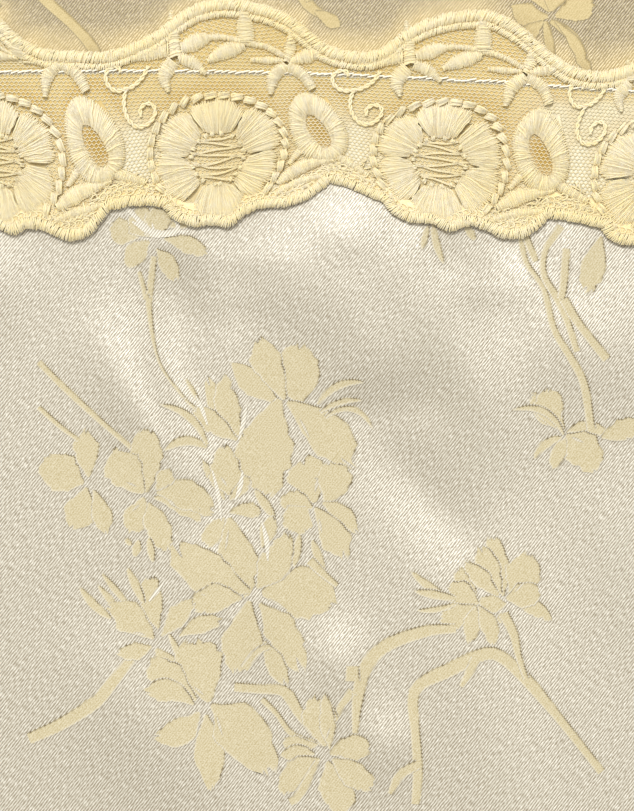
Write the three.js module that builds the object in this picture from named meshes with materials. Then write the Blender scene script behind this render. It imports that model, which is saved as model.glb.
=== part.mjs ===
// A sleeveless maxi dress of ivory satin jacquard with galloon lace on its front neckline, laid flat on
// its back. X runs across the dress, Y from the hem to the shoulders and Z up from the surface it lies on.

import * as THREE from 'three';

// ---------- driving dimensions, in millimetres ----------
// Heights are measured up the dress from the lowest point of its hem.

const CLOTH = 1.2;
const GAP = 0.3;
const DRESS_LENGTH = 1400;
const UNDERARM_HEIGHT = 1165;
const ARMHOLE_TOP = 1335;
const UNDERARM_HALF = 235;
const SHOULDER_HALF = 159;
const ARMHOLE_ROUNDNESS = 2.2;
const SHOULDER_SLOPE = 0.24;
const FRONT_NECK_HEIGHT = 1235;
const BACK_NECK_HEIGHT = 1330;
const NECK_HALF = 106;
const NECK_HALF_AT_SHOULDER = 103;
const NECK_SHARE_OF_WIDTH = 0.5;
const NECK_ARCH = 3.9e-4;
const NECK_ARCH_REACH = 65;
const BACK_NECK_SCOOP = 12;
const BACK_NECK_REACH = 50;
const BODICE_STARTS = 900;
const SHOULDER_STARTS = 1300;
const EDGE_LIES_FLAT = 18;
const HEM_RISE_AT_SIDES = 30;
const HEM_RISE_FADE = 420;

// The side seam, from the hem up to the underarm.
const SIDE_SEAM = [
  { height: 0, half: 395 },
  { height: 250, half: 352 },
  { height: 500, half: 306 },
  { height: 780, half: 253 },
  { height: 900, half: 223 },
  { height: 990, half: 209 },
  { height: 1080, half: 219 },
  { height: UNDERARM_HEIGHT, half: UNDERARM_HALF },
];

// Soft ridges that fan down the skirt. at: share of the half width; top: height where the ridge has died
// out; rise and breadth: at the hem.
const SKIRT_FOLDS = [
  { at: -0.87, top: 560, rise: 7, breadth: 24 },
  { at: -0.68, top: 830, rise: 12, breadth: 33 },
  { at: -0.46, top: 640, rise: 8, breadth: 26 },
  { at: -0.27, top: 930, rise: 14, breadth: 36 },
  { at: -0.05, top: 700, rise: 9, breadth: 27 },
  { at: 0.14, top: 960, rise: 13, breadth: 33 },
  { at: 0.36, top: 620, rise: 8, breadth: 26 },
  { at: 0.55, top: 880, rise: 14, breadth: 35 },
  { at: 0.75, top: 600, rise: 9, breadth: 26 },
  { at: 0.91, top: 450, rise: 6, breadth: 20 },
];

// Soft drag creases of the bodice, each along a line from one place to another.
const BODICE_CREASES = [
  { fromX: -215, fromHeight: 1125, toX: -85, toHeight: 915, rise: 5, breadth: 17 },
  { fromX: 216, fromHeight: 1135, toX: 80, toHeight: 900, rise: 6, breadth: 18 },
  { fromX: -190, fromHeight: 1040, toX: 25, toHeight: 955, rise: 3, breadth: 16 },
  { fromX: 30, fromHeight: 940, toX: 200, toHeight: 1030, rise: 3.4, breadth: 15 },
  { fromX: 8, fromHeight: 1190, toX: 38, toHeight: 985, rise: 2.4, breadth: 14 },
  { fromX: 62, fromHeight: 1185, toX: 104, toHeight: 960, rise: 2.8, breadth: 17 },
  { fromX: -50, fromHeight: 1185, toX: -80, toHeight: 985, rise: 2.6, breadth: 16 },
];

// The lace: q is measured up from the neckline, s along it from the centre of the front.
const LACE_HALF = 112;
const LACE_REPEAT = 45;
const LACE_FLOWER_AT = 20;
const LACE_FAN = 900;
const LACE_WALL = 1.0;
const LACE_COLUMNS = 104;
const LACE_MIDDLE_ROWS = 11;
const TOP_WAVE = { level: 8.4, swing: 5.4, lead: 4 };
const LOW_EDGE = { level: 28.4, lobe: 1.6, lobesPerRepeat: 3, arch: 1.9 };
const TOP_CORD = { breadth: 2.6, rise: 1.1 };
const LOW_CORD = { breadth: 1.9, rise: 0.9 };
const FLOWER = { q: -16.2, reachX: 12.2, reachY: 11.0, hole: 0.38, petals: 6, lobe: 0.09, rise: 1.0 };
const RING_LEAF = { lead: 19.8, q: -13.8, reachX: 5.8, reachY: 7.3, hole: 0.44, rise: 0.9 };

// How far the lace's lower part is pulled down or gathered up along the neckline.
const LACE_DEPTH = [
  { s: -LACE_HALF, depth: 1.0 },
  { s: -60, depth: 0.96 },
  { s: -5, depth: 1.12 },
  { s: 40, depth: 0.9 },
  { s: 83, depth: 1.04 },
  { s: LACE_HALF, depth: 1.0 },
];

const FRONT_MESH = { middle: 22, side: 10, skirtRows: 20, bodiceRows: 9, strapRows: 5 };
const BACK_MESH = { middle: 8, side: 4, skirtRows: 9, bodiceRows: 6, strapRows: 4 };
const ARMHOLE_ROWS = 7;

const SATIN = { color: 0xc9c2ae, roughness: 0.42, metalness: 0 };
const SATIN_INSIDE = { color: 0xbfa97a, roughness: 0.5, metalness: 0 };
const LACE = { color: 0xf1e4c0, roughness: 0.85, metalness: 0 };

// ---------- curves ----------

const clamp = (value) => Math.min(1, Math.max(0, value));

const soft = (value) => {
  const t = clamp(value);
  return t * t * (3 - 2 * t);
};

const mix = (a, b, t) => a + (b - a) * t;

// A smooth curve through a table's rows, read at one value of its first column.
function along(table, key, column, at) {
  const last = table.length - 1;
  const next = table.findIndex((row) => row[key] >= at);
  const k = next < 0 ? last : Math.max(1, next);
  const slope = (i) => {
    const low = table[Math.max(0, i - 1)];
    const high = table[Math.min(last, i + 1)];
    return (high[column] - low[column]) / (high[key] - low[key]);
  };
  const span = table[k][key] - table[k - 1][key];
  const t = clamp((at - table[k - 1][key]) / span);
  const start = (2 * t ** 3 - 3 * t ** 2 + 1) * table[k - 1][column];
  const startSlope = (t ** 3 - 2 * t ** 2 + t) * span * slope(k - 1);
  const end = (3 * t ** 2 - 2 * t ** 3) * table[k][column];
  const endSlope = (t ** 3 - t ** 2) * span * slope(k);
  return start + startSlope + end + endSlope;
}

// Half the width of the dress: the side seam, then the rounded armhole.
function halfWidth(height) {
  if (height <= UNDERARM_HEIGHT) return along(SIDE_SEAM, 'height', 'half', height);
  const up = clamp((ARMHOLE_TOP - height) / (ARMHOLE_TOP - UNDERARM_HEIGHT));
  const inward = (1 - up ** ARMHOLE_ROUNDNESS) ** (1 / ARMHOLE_ROUNDNESS);
  return UNDERARM_HALF - (UNDERARM_HALF - SHOULDER_HALF) * inward;
}

// Where the cloth below the neckline parts into the middle and the two strap columns.
function neckHalf(height) {
  const onSkirt = NECK_SHARE_OF_WIDTH * along(SIDE_SEAM, 'height', 'half', Math.min(height, UNDERARM_HEIGHT));
  const upStrap = clamp((height - FRONT_NECK_HEIGHT) / (DRESS_LENGTH - FRONT_NECK_HEIGHT));
  const onStrap = mix(NECK_HALF, NECK_HALF_AT_SHOULDER, upStrap);
  const upBodice = (height - BODICE_STARTS) / (FRONT_NECK_HEIGHT - BODICE_STARTS);
  return mix(onSkirt, onStrap, soft(upBodice));
}

// A place on the cloth from its column, -1 to 1 with the strap's edge at +-0.5, and its height.
function place(column, height) {
  const side = Math.sign(column);
  const out = Math.abs(column);
  const neck = neckHalf(height);
  const x = out <= 0.5 ? neck * out * 2 : mix(neck, halfWidth(height), out * 2 - 1);
  const hemRise = HEM_RISE_AT_SIDES * (x / halfWidth(height)) ** 2 * (1 - soft(height / HEM_RISE_FADE));
  const nearNeck = 1 - soft(Math.abs(height - FRONT_NECK_HEIGHT) / NECK_ARCH_REACH);
  const arch = NECK_ARCH * Math.min(x, NECK_HALF) ** 2 * nearNeck;
  const upShoulder = soft((height - SHOULDER_STARTS) / (DRESS_LENGTH - SHOULDER_STARTS));
  const shoulder = SHOULDER_SLOPE * Math.max(0, x - NECK_HALF_AT_SHOULDER) * upShoulder;
  return { x: side * x, height: height + hemRise - arch - shoulder };
}

// How far the front stands above the back that it lies on.
function frontLift(x, height) {
  const half = halfWidth(height);
  let lift = 0;
  for (const fold of SKIRT_FOLDS) {
    const down = 1 - height / fold.top;
    if (down <= 0) continue;
    const breadth = fold.breadth * (0.55 + 0.45 * down);
    const across = (x - fold.at * half) / breadth;
    lift += fold.rise * soft(down) * Math.exp(-across * across);
  }
  for (const crease of BODICE_CREASES) {
    const runX = crease.toX - crease.fromX;
    const runY = crease.toHeight - crease.fromHeight;
    const length = Math.hypot(runX, runY);
    const t = ((x - crease.fromX) * runX + (height - crease.fromHeight) * runY) / length ** 2;
    const across = ((x - crease.fromX) * runY - (height - crease.fromHeight) * runX) / length / crease.breadth;
    const ends = clamp(t) === t ? Math.sin(Math.PI * t) ** 2 : 0;
    lift += crease.rise * ends * Math.exp(-across * across);
  }
  const atEdge = soft((half - Math.abs(x)) / EDGE_LIES_FLAT);
  return lift * atEdge;
}

// ---------- walls ----------

const world = (x, height, z) => new THREE.Vector3(x, height - DRESS_LENGTH / 2, z);

function solid(points, triangles) {
  const geometry = new THREE.BufferGeometry();
  geometry.setAttribute('position', new THREE.Float32BufferAttribute(points.flatMap((p) => [p.x, p.y, p.z]), 3));
  geometry.setIndex(triangles.flat());
  geometry.computeVertexNormals();
  return geometry;
}

// A wall between two grids of points, outer above inner, over the cells that has(row, column) keeps.
function clothWall(outer, inner, has) {
  const rows = outer.length - 1;
  const columns = outer[0].length - 1;
  const points = [];
  const numbers = new Map();
  const triangles = [];
  const corner = (face, row, column) => {
    const key = `${face} ${row} ${column}`;
    if (!numbers.has(key)) {
      numbers.set(key, points.length);
      points.push((face ? outer : inner)[row][column]);
    }
    return numbers.get(key);
  };
  const quad = (a, b, c, d) => triangles.push([a, b, c], [a, c, d]);
  const keeps = (row, column) =>
    row >= 0 && row < rows && column >= 0 && column < columns && has(row, column);
  for (let r = 0; r < rows; r++) {
    for (let c = 0; c < columns; c++) {
      if (!keeps(r, c)) continue;
      const top = [corner(1, r, c), corner(1, r, c + 1), corner(1, r + 1, c + 1), corner(1, r + 1, c)];
      const low = [corner(0, r, c), corner(0, r, c + 1), corner(0, r + 1, c + 1), corner(0, r + 1, c)];
      quad(...top);
      quad(low[3], low[2], low[1], low[0]);
      const neighbours = [keeps(r - 1, c), keeps(r, c + 1), keeps(r + 1, c), keeps(r, c - 1)];
      neighbours.forEach((there, k) => {
        const n = (k + 1) % 4;
        if (!there) quad(low[k], low[n], top[n], top[k]);
      });
    }
  }
  return solid(points, triangles);
}

// A raised band: a grid of outer points over a plain underside between its two long edges.
function raisedBand(outer, underLow, underHigh) {
  const rows = outer.length;
  const columns = underLow.length;
  const points = [...outer.flat(), ...underLow, ...underHigh];
  const top = (row, column) => row * columns + column;
  const low = (column) => rows * columns + column;
  const high = (column) => (rows + 1) * columns + column;
  const triangles = [];
  const quad = (a, b, c, d) => triangles.push([a, b, c], [a, c, d]);
  for (let c = 0; c < columns - 1; c++) {
    for (let r = 0; r < rows - 1; r++) quad(top(r, c), top(r, c + 1), top(r + 1, c + 1), top(r + 1, c));
    quad(high(c), high(c + 1), low(c + 1), low(c));
    quad(low(c), low(c + 1), top(0, c + 1), top(0, c));
    quad(high(c + 1), high(c), top(rows - 1, c), top(rows - 1, c + 1));
  }
  const last = columns - 1;
  for (let r = 0; r < rows - 1; r++) {
    triangles.push([low(0), top(r, 0), top(r + 1, 0)]);
    triangles.push([low(last), top(r + 1, last), top(r, last)]);
  }
  triangles.push([low(0), top(rows - 1, 0), high(0)]);
  triangles.push([low(last), high(last), top(rows - 1, last)]);
  return solid(points, triangles);
}

// ---------- panels ----------

const steps = (from, to, count) => Array.from({ length: count }, (_, i) => mix(from, to, i / count));

function panelColumns({ middle, side }) {
  return [...steps(-1, -0.5, side), ...steps(-0.5, 0.5, middle), ...steps(0.5, 1, side), 1];
}

// Row heights, closer together round the armhole, with a row on the neckline.
function panelRows({ skirtRows, bodiceRows, strapRows }, neckHeight) {
  const armhole = Array.from({ length: ARMHOLE_ROWS }, (_, i) => {
    const t = (i / ARMHOLE_ROWS) ** 1.7;
    return mix(UNDERARM_HEIGHT, neckHeight, t);
  });
  return [
    ...steps(0, BODICE_STARTS, skirtRows),
    ...steps(BODICE_STARTS, UNDERARM_HEIGHT, bodiceRows),
    ...armhole,
    ...steps(neckHeight, DRESS_LENGTH, strapRows),
    DRESS_LENGTH,
  ];
}

function panel(mesh, neckHeight, neckShape, baseZ, lift) {
  const columns = panelColumns(mesh);
  const rows = panelRows(mesh, neckHeight);
  const surface = (raise) =>
    rows.map((height) =>
      columns.map((column) => {
        const at = place(column, height);
        const reach = at.height + neckShape(at.x, height);
        return world(at.x, reach, baseZ + raise + lift(at.x, reach));
      }),
    );
  const isOpen = (row, column) =>
    rows[row] >= neckHeight - 1e-6 && column >= mesh.side && column < mesh.side + mesh.middle;
  return clothWall(surface(CLOTH), surface(0), (row, column) => !isOpen(row, column));
}

function backPanel() {
  const scoop = (x, height) => {
    const near = 1 - soft(Math.abs(height - BACK_NECK_HEIGHT) / BACK_NECK_REACH);
    return -BACK_NECK_SCOOP * Math.max(0, 1 - (x / NECK_HALF) ** 2) * near;
  };
  return panel(BACK_MESH, BACK_NECK_HEIGHT, scoop, 0, () => 0);
}

function frontPanel() {
  return panel(FRONT_MESH, FRONT_NECK_HEIGHT, () => 0, CLOTH + GAP, frontLift);
}

// ---------- lace ----------

// Distance along the lace from the nearest flower's centre.
function fromFlower(s, lead = 0) {
  const turns = (s - LACE_FLOWER_AT - lead) / LACE_REPEAT;
  return (turns - Math.round(turns)) * LACE_REPEAT;
}

const laceTop = (s) =>
  TOP_WAVE.level + TOP_WAVE.swing * Math.cos((2 * Math.PI * fromFlower(s, TOP_WAVE.lead)) / LACE_REPEAT);

function laceLow(s) {
  const turn = (2 * Math.PI * fromFlower(s)) / LACE_REPEAT;
  const lobes = LOW_EDGE.lobe * Math.abs(Math.sin((LOW_EDGE.lobesPerRepeat * turn) / 2));
  return -(LOW_EDGE.level + LOW_EDGE.arch * Math.cos(turn) + lobes);
}

const ridge = (distance, { breadth, rise }) => {
  const t = clamp(distance / breadth);
  return rise * Math.sqrt(Math.max(0, 1 - (2 * t - 1) ** 2));
};

// A raised ring between a hole and an outer edge, at a share of its reach from its centre.
const ring = (share, hole, rise) => rise * soft((share - hole) / 0.18) * soft((1.06 - share) / 0.16);

function laceRise(s, q, low, top) {
  const x = fromFlower(s);
  const y = q - FLOWER.q;
  const lobe = 1 + FLOWER.lobe * Math.cos(FLOWER.petals * Math.atan2(y, x));
  const flower = ring(Math.hypot(x / FLOWER.reachX, y / FLOWER.reachY) / lobe, FLOWER.hole, FLOWER.rise);
  const leafX = fromFlower(s, RING_LEAF.lead) / RING_LEAF.reachX;
  const leaf = ring(Math.hypot(leafX, (q - RING_LEAF.q) / RING_LEAF.reachY), RING_LEAF.hole, RING_LEAF.rise);
  const cords = Math.max(ridge(q - low, LOW_CORD), ridge(top - q, TOP_CORD));
  return Math.max(cords, flower, leaf);
}

function necklineLace() {
  const base = 2 * (CLOTH + GAP);
  const lengths = [...steps(-LACE_HALF, LACE_HALF, LACE_COLUMNS), LACE_HALF];
  const at = (s, q, z) => {
    const reach = q < 0 ? q * along(LACE_DEPTH, 's', 'depth', s) : q;
    return world(s * (1 + reach / LACE_FAN), FRONT_NECK_HEIGHT - NECK_ARCH * s * s + reach, z);
  };
  const levels = (s) => {
    const low = laceLow(s);
    const top = laceTop(s);
    const inner = steps(low + LOW_CORD.breadth, top - TOP_CORD.breadth, LACE_MIDDLE_ROWS);
    return [low, low + LOW_CORD.breadth / 2, ...inner, top - TOP_CORD.breadth, top - TOP_CORD.breadth / 2, top];
  };
  const outerColumns = lengths.map((s) =>
    levels(s).map((q) => at(s, q, base + LACE_WALL + laceRise(s, q, laceLow(s), laceTop(s)))),
  );
  const outer = outerColumns[0].map((_, row) => outerColumns.map((column) => column[row]));
  const underLow = lengths.map((s) => at(s, laceLow(s), base));
  const underHigh = lengths.map((s) => at(s, laceTop(s), base));
  return raisedBand(outer, underLow, underHigh);
}

// ---------- the dress ----------

function piece(name, geometry, finish) {
  const mesh = new THREE.Mesh(geometry, new THREE.MeshStandardMaterial(finish));
  mesh.name = name;
  return mesh;
}

const dress = new THREE.Group();
dress.name = 'maxi_dress';
dress.add(piece('back_panel', backPanel(), SATIN_INSIDE));
dress.add(piece('front_panel', frontPanel(), SATIN));
dress.add(piece('neckline_lace', necklineLace(), LACE));

export default dress;
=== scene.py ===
"""A sleeveless maxi dress of satin jacquard with galloon lace on its neckline, laid flat on its back."""

import logging
import math
from dataclasses import dataclass, field
from enum import Enum
from functools import partial
from typing import Callable, Iterable, Sequence

import bmesh
import bpy
import numpy as np
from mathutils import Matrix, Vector


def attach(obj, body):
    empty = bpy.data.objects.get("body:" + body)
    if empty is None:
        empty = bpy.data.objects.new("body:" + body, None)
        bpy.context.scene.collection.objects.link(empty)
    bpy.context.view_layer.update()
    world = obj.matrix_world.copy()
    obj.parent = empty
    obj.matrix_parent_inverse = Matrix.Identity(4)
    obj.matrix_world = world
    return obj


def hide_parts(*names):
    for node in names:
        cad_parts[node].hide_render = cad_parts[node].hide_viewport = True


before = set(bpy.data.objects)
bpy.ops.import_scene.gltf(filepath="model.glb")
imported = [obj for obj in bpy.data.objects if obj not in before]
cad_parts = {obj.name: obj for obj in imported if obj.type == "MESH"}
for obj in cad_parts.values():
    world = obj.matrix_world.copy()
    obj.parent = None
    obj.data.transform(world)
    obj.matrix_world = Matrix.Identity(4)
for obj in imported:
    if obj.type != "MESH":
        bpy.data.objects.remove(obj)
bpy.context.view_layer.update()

log = logging.getLogger("maxi_dress")

MM = 0.001
Array = np.ndarray
Path = Array
# Left, low, right and high, in millimetres.
Box = tuple[float, float, float, float]
Adder = Callable[..., bpy.types.Node]

# Settings that many nodes share.
SCALED = {"operation": "MULTIPLY_ADD"}
CLAMPED = {"operation": "MULTIPLY_ADD", "use_clamp": True}
COLOURED = {"data_type": "RGBA"}


# ---------------------------------------------------------------- small helpers


def linear(code: str) -> tuple[float, float, float, float]:
    """Turns an sRGB hex colour into the linear colour that Blender's shaders take.

    Args:
        code: six hex digits, red first.

    Returns:
        Red, green, blue and alpha.
    """
    parts = [int(code[i : i + 2], 16) / 255 for i in (0, 2, 4)]
    red, green, blue = [c / 12.92 if c <= 0.04045 else ((c + 0.055) / 1.055) ** 2.4 for c in parts]
    return red, green, blue, 1.0


def add_node(tree: bpy.types.NodeTree, kind: str, inputs: dict | None = None, **settings) -> bpy.types.Node:
    """Adds one shader node with its settings, values and links.

    Args:
        tree: the node tree that takes it.
        kind: Blender's name of the node type, without ShaderNode.
        inputs: input names or numbers, each with a value, a hex colour, an output socket or a whole node,
            whose result then feeds it.
        settings: the node's own properties.

    Returns:
        The new node.
    """
    node = tree.nodes.new("ShaderNode" + kind)
    for name, value in settings.items():
        setattr(node, name, value)
    for key, value in (inputs or {}).items():
        if isinstance(value, bpy.types.Node):
            value = next(socket for socket in value.outputs if socket.enabled)
        if isinstance(value, bpy.types.NodeSocket):
            tree.links.new(value, node.inputs[key])
        else:
            node.inputs[key].default_value = linear(value) if isinstance(value, str) else value
    return node


def start_material(name: str) -> tuple[bpy.types.Material, Adder, bpy.types.NodeSocket]:
    """Starts a material without nodes.

    Args:
        name: the material's name.

    Returns:
        The material, add_node bound to its tree, and the socket of the cloth's place, in metres.
    """
    material = bpy.data.materials.new(name)
    material.use_nodes = True
    material.node_tree.nodes.clear()
    add = partial(add_node, material.node_tree)
    return material, add, add("TexCoord").outputs["Object"]


def table(kind: type, *rows: tuple) -> tuple:
    """Makes one of a kind from each row of its fields."""
    return tuple(kind(*row) for row in rows)


def soft(value: Array) -> Array:
    """Eases 0 to 1 with flat ends."""
    t = np.clip(value, 0.0, 1.0)
    return t * t * (3 - 2 * t)


def mix(low: Array, high: Array, t: Array) -> Array:
    """Blends from low to high."""
    return low + (high - low) * t


def along(knots: Sequence[tuple[float, float]], at: Array) -> Array:
    """Reads a smooth curve through (place, value) knots.

    Args:
        knots: the curve's knots, in order of place.
        at: the places to read.

    Returns:
        The curve's value at each place.
    """
    keys, values = np.array(knots, dtype=float).T
    slopes = np.gradient(values, keys)
    slopes[1:-1] = (values[2:] - values[:-2]) / (keys[2:] - keys[:-2])
    k = np.clip(np.searchsorted(keys, at), 1, len(keys) - 1)
    span = keys[k] - keys[k - 1]
    t = np.clip((at - keys[k - 1]) / span, 0.0, 1.0)
    start = (2 * t**3 - 3 * t**2 + 1) * values[k - 1] + (t**3 - 2 * t**2 + t) * span * slopes[k - 1]
    return start + (3 * t**2 - 2 * t**3) * values[k] + (t**3 - t**2) * span * slopes[k]


def heading(angle: float) -> tuple[Array, Array]:
    """The direction at an angle, and the one to its left."""
    run = np.array([math.cos(angle), math.sin(angle)])
    return run, np.array([-run[1], run[0]])


def directions(line: Path) -> tuple[Path, Path]:
    """Finds the direction in which a line runs.

    Args:
        line: its points.

    Returns:
        The direction at each point, and the one to its left.
    """
    run = np.gradient(line, axis=0)
    run /= np.maximum(np.linalg.norm(run, axis=1), 1e-9)[:, None]
    return run, np.column_stack([-run[:, 1], run[:, 0]])


def even_read(values: Sequence[float], at: Array) -> Array:
    """Reads values that stand at even steps from 0 to 1."""
    return np.interp(at, np.linspace(0, 1, len(values)), values)


def add_grid(bm: bmesh.types.BMesh, columns: int, rows: int) -> tuple[list[bmesh.types.BMVert], Array, Array]:
    """Adds a grid of faces.

    Args:
        bm: takes it.
        columns: how many corners it has across.
        rows: how many it has along.

    Returns:
        Its corners, and the column and the row of each.
    """
    corners = bmesh.ops.create_grid(bm, x_segments=columns - 1, y_segments=rows - 1, size=1.0)["verts"]
    share = (np.array([corner.co[:2] for corner in corners]) + 1) / 2
    column, row = np.rint(share * (columns - 1, rows - 1)).astype(int).T
    return corners, column, row


def set_corners(corners: Iterable[bmesh.types.BMVert], places: Array, *marks: tuple) -> None:
    """Moves corners to their places and marks them.

    Args:
        corners: the corners.
        places: a place for each.
        marks: an attribute's layer and its value for each corner, once for each attribute.
    """
    for i, (corner, place) in enumerate(zip(corners, places)):
        corner.co = place
        for layer, values in marks:
            corner[layer] = float(values[i])


def to_mesh(bm: bmesh.types.BMesh, name: str) -> bpy.types.Mesh:
    """Finishes a mesh and frees what it was made with.

    Args:
        bm: the faces so far.
        name: the mesh's name.

    Returns:
        The mesh.
    """
    mesh = bpy.data.meshes.new(name)
    bm.to_mesh(mesh)
    bm.free()
    return mesh


def add_object(name: str, data: bpy.types.ID) -> bpy.types.Object:
    """Links a new object to the scene, at the origin and unturned.

    Args:
        name: the object's name.
        data: its mesh, curve, camera or light.

    Returns:
        The object.
    """
    made = bpy.data.objects.new(name, data)
    bpy.context.scene.collection.objects.link(made)
    return made


def new_piece(name: str, mesh: bpy.types.Mesh, finish: bpy.types.Material) -> bpy.types.Object:
    """Puts a mesh in the scene as a piece of the dress that rides on its one body.

    Args:
        name: the piece's name.
        mesh: its mesh, already in place, in metres.
        finish: its material.

    Returns:
        The new object.
    """
    mesh.name = name
    piece = add_object(name, mesh)
    mesh.materials.clear()
    mesh.materials.append(finish)
    mesh.shade_smooth()
    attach(piece, "root")
    log.info("%s: %d faces", name, len(mesh.polygons))
    return piece


# ---------------------------------------------------------------- the dress's form


@dataclass(frozen=True)
class Fold:
    """A ridge that fans down the skirt: at is a share of the half width, rise and breadth are at the hem."""

    at: float
    top: float
    rise: float
    breadth: float


@dataclass(frozen=True)
class Crease:
    """A soft ridge, or a trough where rise is negative, along a line between two places, in millimetres."""

    from_x: float
    from_height: float
    to_x: float
    to_height: float
    rise: float
    breadth: float


SKIRT_FOLDS = table(
    Fold,
    (-0.87, 560, 7, 24), (-0.68, 830, 12, 33), (-0.46, 640, 8, 26), (-0.27, 930, 14, 36),
    (-0.05, 700, 9, 27), (0.14, 960, 13, 33), (0.36, 620, 8, 26), (0.55, 880, 14, 35), (0.75, 600, 9, 26),
    (0.91, 450, 6, 20),
)

BODICE_CREASES = table(
    Crease,
    (-215, 1125, -85, 915, 3.8, 22), (216, 1135, 80, 900, 4.4, 24), (-190, 1040, 25, 955, 3, 16),
    (30, 940, 200, 1030, 3.4, 15), (8, 1190, 38, 985, 2.4, 14), (62, 1185, 104, 960, 2.8, 17),
    (-50, 1185, -80, 985, 2.6, 16),
)

# Finer troughs and ridges just under the lace, where its stitching draws the satin up.
NECK_PUCKERS = table(
    Crease,
    (3, 1214, 17, 1152, -0.9, 6), (28, 1208, 34, 1180, 0.5, 7), (46, 1206, 56, 1176, -0.5, 6),
    (61, 1212, 62, 1192, 0.55, 4), (73, 1210, 78, 1184, -0.6, 6), (90, 1210, 90, 1190, 0.55, 4),
    (-22, 1206, -30, 1178, 0.6, 7), (-48, 1208, -50, 1176, -0.6, 6), (-80, 1208, -88, 1180, 0.6, 7),
)

# Slow swells of the satin over the breast.
SWELLS = table(
    Crease,
    # The large soft swell under the right flower, its sharp lower end and the furrow that runs on from it.
    (22, 1190, 78, 1196, 2.6, 17), (34, 1166, 72, 1170, -0.55, 4.5), (60, 1204, 80, 1146, 1.5, 7),
    (41, 1174, 78, 1130, -1.2, 6), (36, 1178, 70, 1178, 0.5, 8.5), (60, 1194, 88, 1192, 1.1, 5),
    (66, 1182, 118, 1178, 1.8, 14),
    # The long swell below the left flower.
    (-8, 1192, 18, 1142, 1.6, 6.5), (7, 1206, 18, 1176, -0.6, 4), (-2, 1200, 22, 1199, 0.6, 5),
    (36, 1202, 56, 1203, 0.45, 4.5),
    # Lower down.
    (15, 1148, 31, 1108, 0.9, 4.5), (35, 1117, 53, 1118, 0.6, 6), (44, 1101, 64, 1100, 0.8, 6.5),
    (-12, 1132, 20, 1076, 1.2, 10), (40, 1134, 50, 1086, 0.8, 6), (88, 1180, 106, 1110, 0.7, 9),
    # The other side of the breast, the waist and the skirt.
    (-74, 1196, -18, 1187, 1.5, 14), (-98, 1172, -60, 1108, 1.1, 9), (-152, 1140, -122, 1078, 1.6, 12),
    (132, 1150, 150, 1088, 1.3, 11), (-104, 1012, -38, 984, 1.6, 10), (58, 1000, 124, 1022, 1.5, 10),
    (-22, 930, 34, 941, 1.2, 9), (-184, 704, -88, 660, 1, 18), (40, 622, 152, 662, 1.1, 20),
    (-122, 424, -8, 380, 1.2, 22), (98, 300, 222, 344, 1.2, 22), (-284, 244, -178, 200, 1.2, 20),
    # Fine crossing creases left by folding.
    (8, 1198, 44, 1196, 0.14, 2.2), (6, 1186, 40, 1185, -0.12, 2.4), (22, 1205, 23, 1160, 0.12, 2.2),
    (52, 1206, 53, 1168, -0.14, 2.4),
)


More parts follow.
